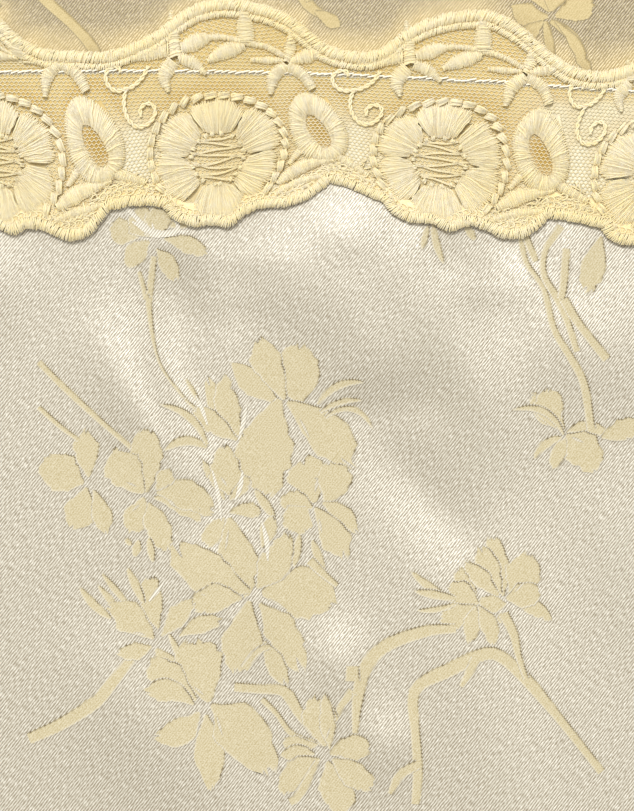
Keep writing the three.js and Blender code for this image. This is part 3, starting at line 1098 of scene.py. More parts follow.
@dataclass(frozen=True)
class Flower:
    """A six-petalled embroidered flower with an open, thread-crossed eye."""

    q: float = -17.0
    reach_s: float = 12.7
    reach_q: float = 11.7
    eye: float = 0.42
    petals: int = 6
    petal_half_deg: float = 29.2
    petal_stitches: int = 37
    petal_crown: float = 0.6
    dash_ring: float = 1.07
    dash_step_deg: float = 11.4
    dash_half: float = 1.12
    eye_crossings: int = 8
    knot_step_deg: float = 20.0
    knot_half: float = 0.42

    def at(self, share: Array, angle: Array) -> Path:
        """A place at a share of the flower's reach, in a direction."""
        out, up = self.reach_s * share * np.cos(angle), self.reach_q * share * np.sin(angle)
        return np.column_stack([out, self.q + up])

    def work(self, threads: ThreadWork, centre: float) -> None:
        """Embroiders the flower.

        Args:
            threads: takes its stitches.
            centre: where along the lace it is.
        """
        shift = np.array([centre, 0.0])
        w = np.linspace(-1, 1, self.petal_stitches)
        half = math.radians(self.petal_half_deg)
        for k in range(self.petals):
            middle = math.radians(360 / self.petals * k + 30)
            bend = threads.chance.normal(0, 0.05)
            grown = threads.chance.uniform(1.0, 1.05)
            lobe = 0.03 * np.cos(w * threads.chance.uniform(5, 9) + k)
            inner = self.at(self.eye + 0.09 * np.abs(w) ** 3, middle + w * half * 0.9)
            outer = self.at(grown - 0.16 * np.abs(w) ** 4 + lobe, middle + bend + w * half)
            ragged = outer + (outer - inner) * threads.chance.normal(0, 0.02, (self.petal_stitches, 1))
            threads.satin(inner + shift, ragged + shift, self.petal_crown, 0.165, points=6, loose=0.06)
        self.dashes(threads, shift)
        self.eye_threads(threads, shift)

    def dashes(self, threads: ThreadWork, shift: Array) -> None:
        """Works the ring of short padded stitches round the petals.

        Args:
            threads: takes the stitches.
            shift: the flower's place.
        """
        for angle in np.radians(np.arange(-40, 222, self.dash_step_deg)):
            ring = np.array([self.dash_ring + 0.02 * math.sin(3 * angle)])
            middle = self.at(ring, np.array([angle]))[0] + shift
            run, side = heading(angle + math.pi / 2 + 0.25 + threads.chance.normal(0, 0.12))
            rows, half = np.linspace(-0.5, 0.5, 4)[:, None] * side, run * self.dash_half
            threads.satin(middle - half + rows * 0.7, middle + half + rows, 0.8, 0.27, loose=0.04)

    def eye_threads(self, threads: ThreadWork, shift: Array) -> None:
        """Crosses the eye with slack threads and rims it with small knots.

        Args:
            threads: takes the threads.
            shift: the flower's place.
        """
        for k, level in enumerate(np.linspace(-0.33, 0.33, self.eye_crossings)):
            reach = math.sqrt(max(0.02, self.eye**2 - level**2)) * 1.06
            x = np.linspace(-reach, reach, 7) * self.reach_s
            tilt = 0.16 if k % 2 else -0.12
            wave = 0.22 * np.sin(np.linspace(0, 5 + k % 3, 7) + k)
            q = self.q + level * self.reach_q + tilt * x + wave
            for strand in (-0.1, 0.1):
                threads.thread(np.column_stack([x + shift[0], q + strand, 0.42 + 0.1 * np.cos(x)]), 0.11)
        for angle in np.radians(np.arange(0, 360, self.knot_step_deg)):
            stray = np.array([angle + threads.chance.normal(0, 0.06)])
            middle = self.at(np.array([self.eye]), stray)[0] + shift
            run, side = heading(angle)
            rows, half = middle + np.linspace(-0.21, 0.21, 3)[:, None] * side, run * self.knot_half
            threads.satin(rows - half, rows + half, 0.5, 0.2, points=4, loose=0.05)


@dataclass(frozen=True)
class RingLeaf:
    """A leaf worked as a padded ring round a patch of bare net."""

    lead: float = 19.8
    q: float = -12.6
    half_width: float = 5.4
    half_length: float = 8.5
    lean_deg: float = 25.0
    hole_width: float = 1.8
    hole_length: float = 4.5
    hole_lean_deg: float = 30.0
    hole_shift: tuple[float, float] = (0.3, -0.9)
    stitches: int = 107

    def oval(self, width: float, length: float, lean_deg: float, turn: Array, point: float) -> Path:
        """Draws an oval that leans to the left at its top.

        Args:
            width: half its width.
            length: half its length.
            lean_deg: how far it leans, in degrees.
            turn: the angles round it to draw.
            point: how much narrower its top is than its bottom.

        Returns:
            Its outline.
        """
        (cos, sin), _ = heading(math.radians(lean_deg))
        x = width * np.sin(turn) * (1 - point * np.cos(turn))
        y = length * np.cos(turn)
        return np.column_stack([x * cos - y * sin, self.q + x * sin + y * cos])

    def work(self, threads: ThreadWork, centre: float) -> None:
        """Embroiders the leaf.

        Args:
            threads: takes its stitches.
            centre: where along the lace the flower beside it is.
        """
        turn = np.linspace(0, 2 * np.pi, self.stitches + 1)
        shift = np.array([centre + self.lead, 0.0])
        outer = self.oval(self.half_width, self.half_length, self.lean_deg, turn, 0.16)
        inner = self.oval(self.hole_width, self.hole_length, self.hole_lean_deg, turn + 0.12, 0.1)
        inner += self.hole_shift
        threads.satin(inner[:-1] + shift, outer[:-1] + shift, 0.95, 0.2, loose=0.05)


@dataclass(frozen=True)
class Sprig:
    """A leaf of the vine, from (s, q) points measured from the flower's centre line, with its breadths."""

    axis: tuple[tuple[float, float], ...]
    breadth: tuple[float, ...]
    crown: float = 0.6


VINE = table(
    Sprig,
    (((4.6, 12.2), (5.2, 5.8)), (2.3, 2.6, 3.3, 3.2), 0.75),
    (((-7.4, 3.4), (-4.6, 4.6), (-2.4, 5.6)), (1.4, 2.4, 1.6)),
    (((-3, 5.5), (1, 6.2), (5, 5.7), (9, 4.8), (12.6, 3)), (1.1, 0.9, 1.2, 1, 1), 0.5),
    (((4.8, 5), (1, 3.6), (-2.2, 1.9)), (1.6, 2.9, 2.4, 0.8)),
    (((6.4, 2.3), (12.4, 2.2)), (0.7, 1.3, 0.8), 0.4),
    (((-9.8, 7.9), (-9.2, 5.2), (-8.6, 2.4)), (0.6, 2.2, 2.9)),
    (((-9.2, 1.5), (-10.9, -1.1), (-10, -4.1)), (2.6, 3.2, 2.2, 0.6)),
    (((-7.8, 2.1), (-4.8, 1.3), (-2.6, -0.6)), (1.5, 2.2, 0.7)),
    (((-18, 2), (-14, 2.6), (-10.2, 3.1)), (0.7, 2, 1.6), 0.5),
    (((13.8, 6.6), (14, 4.2), (13.3, 2.1)), (0.7, 2.4, 1.6)),
    (((14.3, 2.1), (17.5, 3), (20.8, 3.9)), (1.3, 2.4, 0.8)),
    (((13.2, 1.2), (10.9, -0.9), (10.4, -4.6)), (2.2, 2.7, 0.8), 0.75),
    (((13.6, 1.2), (16.6, -0.4), (18.6, -3.6)), (2.2, 2.3, 1.7), 0.75),
    # Below the ring leaf, down to the lower edge.
    (((12.4, -24.2), (17.5, -21.4), (23.4, -20.2)), (1.6, 3.2, 2.4, 0.8)),
    (((22, -18), (25.6, -19.6), (30.5, -21.8)), (1.4, 2, 1.2)),
    (((14.6, -20.4), (16.8, -17.6), (19, -16.6)), (0.9, 1.5, 0.8), 0.4),
    (((12, -26.6), (16.5, -25), (21.5, -24.2)), (1, 1.8, 1), 0.5),
)

SCROLL = (
    (
        (-14.0, 0.8), (-15.0, -1.2), (-16.6, -2.8), (-18.4, -3.6), (-20.6, -3.8), (-22.2, -2.4),
        (-22.4, -0.6), (-21.4, 0.5), (-20.0, 0.5), (-19.5, -0.4),
    ),
    (
        (-18.4, -3.6), (-18.8, -5.2), (-18.8, -7.2), (-18.0, -9.4), (-16.2, -10.9), (-14.0, -10.4),
        (-12.7, -8.6), (-13.0, -7.0), (-14.4, -6.5), (-15.6, -7.5), (-15.5, -9.0),
    ),
)


@dataclass
class Galloon:
    """The lace: a fine net with corded scalloped edges, flowers, ring leaves, scrolls and a leafy vine."""

    satin: SatinFinish
    net_cell: float = 0.9
    net_row: float = 0.66
    net_swing: float = 0.2
    net_radius: float = 0.17
    net_low: float = -31.0
    net_top: float = 14.4
    # From where along the lace the veil turns pale towards its right end, and how far: a painted highlight of
    # the satin's sheen beneath.
    highlight_from: float = 74.0
    highlight_share: float = 0.8
    # Shares of a flower's and a ring leaf's reach beyond which the ground is bare, and between which the
    # embroidery covers it.
    bare_beyond: tuple[float, float] = (1.12, 1.05)
    petal_cover: tuple[float, float] = (0.52, 0.78)
    leaf_cover: tuple[float, float] = (0.7, 0.82)
    filler_stitches: int = 2600
    seam_pitch: float = 1.35
    flower: Flower = field(default_factory=Flower)
    ring_leaf: RingLeaf = field(default_factory=RingLeaf)

    def centres(self) -> list[float]:
        """Where along the lace its flowers are."""
        return [LACE.flower_at + LACE.repeat * k for k in range(-3, 3)]

    def shares(self, s: Array, q: Array) -> tuple[Array, Array]:
        """Measures how far out places lie from the nearest flower's and ring leaf's middles.

        Args:
            s: places along the lace.
            q: places up it.

        Returns:
            Both distances, as shares of the flower's and the leaf's reaches.
        """
        flower, leaf = self.flower, self.ring_leaf
        return (
            np.hypot(LACE.phase(s) / flower.reach_s, (q - flower.q) / flower.reach_q),
            np.hypot(LACE.phase(s, leaf.lead) / leaf.half_width, (q - leaf.q) / leaf.half_length),
        )

    def is_ground(self, s: Array, q: Array) -> Array:
        """Where neither flower nor ring leaf lies."""
        flower, leaf = self.shares(s, q)
        return (flower > self.bare_beyond[0]) & (leaf > self.bare_beyond[1])

    def covered(self, s: Array, q: Array) -> Array:
        """Finds where thick embroidery hides the net.

        Args:
            s: places along the lace.
            q: places up it.

        Returns:
            Whether it does at each place.
        """
        flower, leaf = self.shares(s, q)
        covers = (flower, self.petal_cover), (leaf, self.leaf_cover)
        return np.any([(share > low) & (share < high) for share, (low, high) in covers], axis=0)

    def net(self) -> ThreadWork:
        """Lays the net's wavy strands, each half a cell off the last, where the embroidery leaves them bare.

        Returns:
            The net's threads.
        """
        work = ThreadWork(sides=3, seed=3)
        s = np.arange(-LACE.half + 0.3, LACE.half - 0.3, self.net_cell / 2)
        turns = np.arange(len(s))
        low, top = LACE.low(s), LACE.top(s)
        for row, level in enumerate(np.arange(self.net_low, self.net_top, self.net_row)):
            way = np.where((turns + row) % 2, 1, -1)
            q = level + self.net_swing * way
            strand = np.column_stack([s, q, -0.08 + 0.03 * way])
            keep = (q > low + 0.7) & (q < top - 0.7) & ~self.covered(s, q)
            ends = np.flatnonzero(np.diff(np.concatenate([[0], keep.astype(int), [0]])))
            for first, last in zip(ends[::2], ends[1::2]):
                if last - first > 2:
                    work.thread(strand[first:last], self.net_radius)
        return work

    def filaments(self) -> bpy.types.Mesh:
        """Makes the haze of single filaments that spans the net's openings.

        Returns:
            A thin open sheet between the lace's corded edges.
        """
        columns, rows = 261, 45
        bm = bmesh.new()
        closeness_and_no_highlight, painted_embroidery_shade = [bm.verts.layers.float.new(name) for name in ("closeness_and_no_highlight", "painted_embroidery_shade")]
        corners, column, row = add_grid(bm, columns, rows)
        s = (column / (columns - 1) * 2 - 1) * (LACE.half - 0.4)
        low, top = LACE.low(s) + 0.6, LACE.top(s) - 0.8
        q = mix(low, top, row / (rows - 1))
        # Painted highlight: low down, between the flowers and towards the right end, the veil thins and turns
        # pale as if the satin's sheen shone through.
        between = np.exp(-((LACE.phase(s, -17.5) / 8) ** 2))
        thinning_and_highlight = soft((-5 - q) / 8) * (0.3 + 0.7 * between)
        thinning_and_highlight = np.maximum(thinning_and_highlight, self.highlight_share * soft((s - self.highlight_from) / 12) * soft(-q / 4))
        places = LACE.place(s, q, np.full(len(s), -0.16))
        set_corners(corners, places, (closeness_and_no_highlight, 1 - thinning_and_highlight), (painted_embroidery_shade, self.painted_embroidery_shade(s, q, thinning_and_highlight)))
        return to_mesh(bm, "filaments")

    def painted_embroidery_shade(self, s: Array, q: Array, thinning_and_highlight: Array) -> Array:
        """Finds the painted shade that deepens the net's gold: beside a flower, round a ring leaf and in it.

        Args:
            s: places along the lace.
            q: places up it.
            thinning_and_highlight: how thin the filaments are there, and how far they are painted pale.

        Returns:
            The painted shade, from 0 to 1.
        """
        flower, leaf = self.shares(s, q)
        beside = 0.6 * np.exp(-(((flower - 1.2) / 0.13) ** 2)) * soft((q + 20) / 8)
        rim = 0.65 * np.exp(-(((leaf - 1.2) / 0.2) ** 2))
        x, y = LACE.phase(s, self.ring_leaf.lead), q - self.ring_leaf.q
        (cos, sin), _ = heading(math.radians(self.ring_leaf.hole_lean_deg))
        leaf_hole = self.ring_leaf.hole_shift
        over, up = x * cos + y * sin - leaf_hole[0], y * cos - x * sin - leaf_hole[1]
        hole = np.exp(-((over / 2.4) ** 4) - (up / 4.9) ** 4)
        return np.maximum(hole, np.maximum(beside, rim) * (1 - 0.8 * thinning_and_highlight))

    def cords(self) -> ThreadWork:
        """Works the corded edges, the inner cord and the scrolls.

        Returns:
            Their threads.
        """
        work = ThreadWork(seed=5)
        s = np.arange(-LACE.half, LACE.half + 0.01, 0.5)
        crest, low = along(LACE.crest, s), LACE.low(s)
        swell = 2.4 + 0.18 * np.sin(s * 1.7) + 0.12 * np.sin(s * 4.3)
        work.leaf(np.column_stack([s, crest - 1.2]), swell, 1.05, 0.8, 0.36, 0.22, 0.05, plain=True)
        work.leaf(np.column_stack([s, crest - 2.95]), (1.3, 1.3), 0.55, 0.5, 0.38, 0.21, 0.05, plain=True)
        work.leaf(np.column_stack([s, low + 1.0]), swell * 0.88, 0.8, 0.5, 0.35, 0.2, 0.05)
        bed_top = np.column_stack([s, low + 4.9 + 0.5 * np.sin(s * 0.8)])
        work.bed(np.column_stack([s, low + 1.6]), bed_top, 0.1, 0.16, False)
        work.chain(np.column_stack([s, low + 2.6]))
        work.chain(np.column_stack([s, low + 4.0 + 0.5 * np.sin(s * 0.7)]), keep=self.is_ground)
        for centre in self.centres():
            for path in SCROLL:
                work.plied(np.array(path) + (centre, 0))
        return work

    def fold(self) -> ThreadWork:
        """Rolls over the satin's edge along the neckline, under the net.

        Returns:
            One thick round edge.
        """
        work = ThreadWork(sides=8)
        s = np.arange(-105.5, 105.6, 0.8)
        q = 0.06 * np.sin(s * 1.3) + 0.05 * np.sin(s * 3.1) - 0.35
        line = np.column_stack([s, q, -0.5 + 0.05 * np.sin(s * 2.2)])
        work.thread(line, 0.5 + 0.05 * np.sin(s * 1.9), plain=True)
        return work

    def seam(self) -> ThreadWork:
        """Runs the white stitches that hold the lace to the satin's folded edge.

        Returns:
            Their threads.
        """
        work = ThreadWork(seed=9)
        w = np.linspace(0, 1, 5)
        for start in np.arange(-105, 105, self.seam_pitch):
            a = np.array([start, -0.25 + work.chance.normal(0, 0.1)])
            run = np.array([1.5, 0.34 + work.chance.normal(0, 0.08)])
            work.thread(np.column_stack([a + run * w[:, None], 0.1 + 0.3 * np.sin(np.pi * w)]), 0.2)
        return work

    def filler(self) -> ThreadWork:
        """Fills the ground between the flowers and the lower edge with short tangled stitches.

        Returns:
            Their threads.
        """
        work = ThreadWork(sides=3, seed=21)
        s = work.chance.uniform(-LACE.half + 1, LACE.half - 1, self.filler_stitches)
        up = work.chance.uniform(2.4, 8.0, len(s))
        q = LACE.low(s) + up
        kept = (self.shares(s, q)[0] > 1.02) & (up < 5.2 + 1.6 * np.sin(s * 0.9) + 0.8 * np.sin(s * 2.3))
        t = np.linspace(-1, 1, 4)
        for at in np.column_stack([s, q])[kept]:
            run, side = heading(work.chance.normal(0.2, 0.9))
            bow = work.chance.normal(0, 0.35)
            flat = at + run * (t * work.chance.uniform(0.7, 1.2))[:, None] + side * (bow * t * t)[:, None]
            work.thread(np.column_stack([flat, 0.2 + work.chance.uniform(0.1, 0.4) * (1 - t * t)]), 0.2)
        return work

    def embroidery(self) -> ThreadWork:
        """Works the flowers, ring leaves and vine.

        Returns:
            Their threads.
        """
        work = ThreadWork(seed=11)
        for centre in self.centres():
            self.flower.work(work, centre)
            self.ring_leaf.work(work, centre)
            for sprig in VINE:
                work.leaf(np.array(sprig.axis) + (centre, 0), sprig.breadth, sprig.crown)
        return work

    def build(self) -> None:
        """Makes the lace's pieces."""
        # A fine single yarn, knitted open and dyed gold: it is matt and lets a little light through.
        net = MatteFinish("golden cotton net", "FEF5D4", "F8E9B8", 0.8, translucency=0.2).material()
        # Bleached, tightly twisted and waxed for sewing: the whitest and smoothest line in the lace.
        white = MatteFinish("white sewing cotton", "FFFAEC", "F7EFD8", 0.6).material()
        # Loosely spun and mercerised, so that the padded stitches catch a soft light along their crowns.
        thread = MatteFinish("mercerised cotton embroidery", "F5E6C0", "F0DCA6", 0.7, softness=0.4).material()
        made = [
            new_piece("lace_net", self.net().mesh("net"), net),
            new_piece("lace_cords", self.cords().mesh("cords"), thread),
            new_piece("lace_seam", self.seam().mesh("seam"), white),
            new_piece("neck_fold", self.fold().mesh("fold"), self.satin.material()),
            new_piece("lace_filler", self.filler().mesh("filler"), thread),
            new_piece("lace_net_filaments", self.filaments(), NetFilaments().material()),
            new_piece("lace_embroidery", self.embroidery().mesh("embroidery"), thread),
        ]
        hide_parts("neckline_lace")
        veil = made.pop(5)


# ---------------------------------------------------------------- the woven pattern


@dataclass(frozen=True)
class Petal:
    """A petal, leaf or spike of the woven pattern, in millimetres, from its root out.

    Turn is its direction in degrees from the dress's right, notch how far its tip is cut in and bend how far
    its middle line bows, both as shares of its length.
    """

    x: float
    y: float
    turn: float
    length: float
    breadth: float
    notch: float = 0.0
    bend: float = 0.0


@dataclass(frozen=True)
class Stem:
    """A stem of the woven pattern: the points of its middle line and its breadth at even steps along it."""

    points: tuple[tuple[float, float], ...]
    breadth: tuple[float, ...]


BLOSSOMS = table(
    Petal,
    # The great blossom and its stamens.
    (33, 19.5, 115, 13, 6, 0.1), (36, 18.5, 90, 12, 9, 0.08, 0.03), (32, 18.5, 140, 12.5, 5, 0.06),
    (32, 19.5, -100, 19, 11, 0, -0.06), (33.5, 19, -45, 18, 8.5, 0.14, 0.06),
    (39.5, 18.5, 25, 10.5, 1.6, 0, 0.16), (40, 17, 15, 9, 1.2, 0, 0.1), (41, 16, -15, 10, 1.2, 0, 0.3),
    # The blossom below it.
    (39, -1, 105, 9, 8, 0.1), (41, -1, 80, 8, 7, 0, -0.12), (38.5, -2, 175, 6.5, 5, 0, -0.1),
    (37.5, -2, -130, 6, 6), (40.5, -1, -40, 9, 4, 0, 0.08), (39, -2, -60, 11.5, 6, 0.08, 0.05),
    (36, -7.5, -100, 6.5, 1.8), (38.5, -8.5, -70, 7, 1.8),
    # The tall petals to its left.
    (24, 12.5, 120, 12.5, 5, 0.1), (24.5, 12, 105, 13, 5, 0, 0.1), (23.5, 11.5, 145, 10.5, 4.5),
    (22, 0.5, 95, 10, 6, 0, 0.04), (17.5, 10.5, 140, 12.5, 1.6, 0, -0.16),
    (17.5, 10, -175, 8.5, 2, 0, -0.2), (16, 19, 120, 5.5, 1), (18.5, 15, 140, 7.5, 0.8),
    # The small blossom between.
    (22, -3, 0, 6.5, 3, 0, 0.1), (21, -4, -125, 6.5, 4), (22, -4, -80, 15.5, 8.5), (22, -0.5, 50, 6, 3),
    (21, -0.5, 120, 9, 2.2, 0, -0.05), (31, -4, 125, 7, 2), (28.5, -10, 70, 6.5, 3.5),
    # The broad blossom.
    (28.5, -19, -10, 14.5, 11, 0.05, 0.1), (28, -21, -60, 15.5, 6.5, 0.16, 0.06),
    (26, -20.5, -100, 14.5, 8), (26, -18.5, 150, 17, 8.5, 0.08, 0.06), (24.5, -20, -170, 10, 5.5, 0, -0.1),
    (27.5, -18, 60, 12.5, 6, 0, -0.05), (29, -28.5, -65, 9.5, 4, 0.1),
    # The blossom on the left stem.
    (8.5, -27.5, 50, 9.5, 4), (12, -27.5, 20, 9, 3.5, 0, 0.08), (7, -28, 145, 11, 6, 0, -0.06),
    (6.5, -29.5, -170, 7, 3.5, 0, 0.06), (8, -26, 100, 10.5, 4.5, 0, 0.05), (7.5, -30, -55, 10, 6),
    (10, -27, -70, 11.5, 1.6, 0, 0.04), (2, -21.5, 130, 8.5, 1.4), (0.5, -23, 130, 7.5, 1.4),
    (-1.5, -24, 135, 9, 1.8, 0, 0.06), (5, -21, 115, 8, 1.8),
    # The low blossom.
    (18, -40.5, 105, 12.5, 9.5, 0.05), (15.5, -40, 140, 12, 6.5, 0, 0.05),
    (15, -41, 165, 10, 4.5, 0, -0.14), (16, -42.5, -150, 10, 5.5, 0, 0.14), (17.5, -43, -85, 14.5, 6),
    (18.5, -41, -50, 17.5, 10, 0.06, 0.06),
    # The lowest blossom.
    (41, -49.5, 100, 10, 7, 0.14), (42, -50, 95, 11, 3), (39.5, -49, 175, 7, 3.5, 0, 0.08),
    (39, -51, -175, 6.5, 3, 0, -0.1), (40, -52, -135, 10, 5, 0, -0.16), (42, -51, 5, 8, 5.5, 0, 0.12),
    (42.5, -52, -35, 10, 5), (41.5, -52.5, -70, 11, 7),
    # The far left blossom.
    (-6, 4, 95, 9.5, 5, 0.12), (-7, 3, 150, 9, 7.5, 0, 0.06), (-6.5, 2, -110, 8.5, 6, 0, 0.05),
    (-5, 1.5, -75, 9, 4, 0, 0.04),
    # The left blossom.
    (5.5, 1, 90, 12.5, 6.5), (5, 1, 125, 10.5, 7.5, 0, 0.05), (5, 0, -110, 7.5, 5.5), (6, -1, -70, 10, 5),
    (7, 0, -25, 10, 4, 0, 0.12), (7.5, 1, -20, 12, 6, 0, 0.14), (7.5, 1.5, 55, 5, 3.5),
    (2.5, -9.5, 130, 2, 1.2), (4, -8.5, -105, 3.5, 1.8), (6, -8, -80, 5, 1.6),
    # The right blossom.
    (76.5, -19.5, 100, 12, 4.5), (76, -19, 115, 10, 4.5, 0.1), (75.5, -19.5, 135, 9.5, 3.5),
    (77.5, -20, 65, 10, 7, 0.05, -0.08), (77, -20, 10, 7, 5), (77.5, -20.5, -25, 9.5, 3, 0, 0.1),
    (77, -21, 170, 5.5, 3.5, 0, 0.1), (77, -23, -135, 2.5, 2),
    # Its companion in side view.
    (71.5, -21, 120, 8, 3.5, 0, 0.08), (71.5, -21, 150, 7, 5), (71, -21.5, -160, 7.5, 5, 0, 0.04),
    (71, -21.5, -100, 7.5, 3.5), (71.5, -21.5, -70, 8.5, 3.5, 0, 0.08),
    (66.5, -20.5, 145, 10.5, 1.8, 0, 0.04), (67, -20, 170, 8.5, 1.8), (67, -21, -170, 8, 1.2, 0, 0.06),
    # The flower at the right edge.
    (88.5, 13.5, 135, 9.5, 5, 0, -0.03), (88.5, 13.5, 115, 9, 6, 0, 0.08), (89, 13, -5, 8, 2.5, 0, 0.18),
    (88.5, 12.5, 155, 11.5, 1.4, 0, -0.22), (88, 12, -140, 7, 1.8, 0, -0.14), (89, 12, -115, 7, 3),
    (89, 12.5, -50, 9, 7, 0, 0.08), (96, 12, 20, 8.5, 4.5),
    # The flower half under the lace.
    (7, 52, 130, 6.5, 6), (7.5, 52, 85, 6, 5, 0.1), (6, 51, -125, 6.5, 4.5, 0, -0.12),
    (7.5, 49.5, -60, 7.5, 3.5, 0, 0.06), (9, 51.5, -20, 9, 3.5, 0, 0.06), (9.5, 54, 20, 7, 3),
    (4, 52, 165, 6, 5),
    # Small petals by the lace.
    (61.5, 54, -105, 5, 1.4), (62.5, 54.5, -75, 8.5, 1.6, 0, -0.05), (69, 54, -55, 3.5, 1.6),
    (96, 52, -105, 11.5, 5),
)

STEMS = table(
    Stem,
    (((7, 48), (6, 40), (6, 37.5), (7, 30.5), (9, 25), (14.5, 18)), (1.2, 1.4, 1, 0.5, 0.5, 0.6)),
    (((4, 45), (5.5, 39.5)), (0.8, 1.2)),
    (((-16, 27), (-11, 22), (-4.5, 16), (3, 9.5)), (1.2, 1.3, 1.1, 0.9)),
    (((-16, 18), (-11.5, 14), (-8, 11.5)), (1, 1, 0.8)),
    (((-18, -48), (-11.5, -45), (-4.5, -40.5), (-1.5, -37), (2.5, -32)), (2.2, 2.4, 2.6, 2.4, 1.8)),
    (
        ((67, -26), (61, -26.5), (53, -29.5), (49, -34), (47.5, -40.5), (47, -47)),
        (1.6, 2.4, 2.6, 2.8, 2.2, 1),
    ),
    (((46.5, -33.5), (46.5, -36.5)), (2.4, 2.8)),
    (((46.5, -38.5), (44.5, -41), (43, -44)), (1.8, 1.4, 1.2)),
    (
        (
            (59, -61), (59.5, -54.5), (59, -46.5), (58.5, -40.5), (60, -37), (66, -34), (71, -31.5),
            (75, -31), (80, -35), (86.5, -42.5), (96, -54.5),
        ),
        (1.6, 2, 1.8, 2.2, 2.8, 2.6, 2.4, 2.4, 1.8, 1.6, 1.6),
    ),
    (((71, -32), (69.5, -35), (68, -37.5)), (1.8, 1.6, 0.8)),
    (((59.5, -53), (56, -55), (54, -59)), (1.8, 2, 1)),
    (((76.5, -23), (78.5, -27), (79.5, -31.5), (81, -36)), (2, 1.8, 1.2, 1)),
    (((23, -37.5), (28.5, -38), (33, -38.5), (36, -43), (40.5, -49)), (1.8, 1.8, 2.4, 1.8, 1.2)),
    (((28.5, -40), (31.5, -43), (34.5, -47), (39.5, -49)), (1.2, 1, 1.2, 1)),
    (
        ((80, 53), (81, 47), (84.5, 41.5), (86.5, 33.5), (90, 27.5), (92.5, 22.5), (94, 13.5)),
        (1.3, 1, 1.2, 1.3, 1.5, 1.7, 1.6),
    ),
    (((88, 54), (85, 49.5), (84.5, 44.5), (87, 40), (89, 35.5), (91, 29)), (1.6, 1.2, 1.3, 1.5, 1.3, 1.2)),
    (((81, 52), (83, 47)), (1.4, 1.2)), (((89, 49.5), (88.5, 42.5), (88, 39.5)), (1.4, 1.6, 1.4)),
    (((88.5, 39.5), (91.5, 34.5), (97, 27.5)), (1.8, 1.6, 1.8)),
    (((25, -34), (27.5, -30.5), (30, -29.5)), (1.6, 1.4, 1)),
    (((34, -60.5), (36, -59), (39.5, -52.5)), (1.6, 1.8, 1)),
    (((38, -12.5), (40.5, -15), (43.5, -17.5)), (1.8, 1.4, 1)),
)


# Short runs of bare satin that glint between the petals.
GLINTS = table(
    Stem,
    (((-0.3, 58.9), (2, 57.1), (3.7, 55.4), (6, 52.9), (8.3, 52.4)), (0.7, 1, 0.9, 1.5, 1.7)),
    (((8.1, 52.4), (10.7, 52.7), (12, 53.7), (11.2, 55), (10.3, 56.4)), (1.3, 1.4, 1.2, 0.6, 0.3)),
    (((2.6, 54.9), (4.7, 53.7), (6.5, 52.2)), (0.4, 1.1, 0.8)), (((6.6, 54.6), (6.9, 52.7)), (0.2, 0.9)),
    (((15.2, 20.4), (16.6, 17.4), (17.6, 14.4)), (0.2, 0.9, 0.3)),
    (((25.4, 18.4), (24.8, 15), (23.8, 11.4)), (0.3, 1, 0.3)),
    (((24.6, 5.4), (24.2, 2.4), (23.2, -0.6)), (0.2, 1.1, 0.4)),
    (((28.4, -4.6), (29.4, -8.6), (29.6, -12.6)), (0.3, 1.2, 0.3)),
    (((18.6, 5.4), (19.8, 0.4), (20.4, -4.6)), (0.3, 0.9, 0.3)),
    (((9, -16.6), (7.8, -18.4), (6, -20.6)), (0.2, 0.9, 0.3)),
)

# What the back's inner face shows just above the lace.
SPRAY_STEMS = table(
    Stem,
    (((-19, 104), (-15, 99.5), (-9, 94), (-5, 89), (-3, 82)), (1.6, 2, 1.8, 2.2, 1.6)),
    (((34, 104), (38, 98), (43, 95)), (1.4, 2.2, 1)), (((92, 112), (89, 104), (87, 98)), (1.6, 1.4, 1.2)),
)
SPRAY_BLOSSOMS = table(
    Petal,
    (86, 97, 120, 9, 5.4, 0.1), (86, 97, 75, 8, 5), (85.5, 96, 165, 7.5, 4.4, 0, 0.1),
    (87, 96, 20, 8, 4.6), (86, 95, -50, 11, 2, 0, 0.12), (87, 95, -62, 14, 2.2, 0, 0.1),
    (85, 95, -80, 9, 1.8), (84.5, 95, -140, 7, 3), (39, 97, -30, 6, 2.6), (37, 99, 40, 6, 3),
)


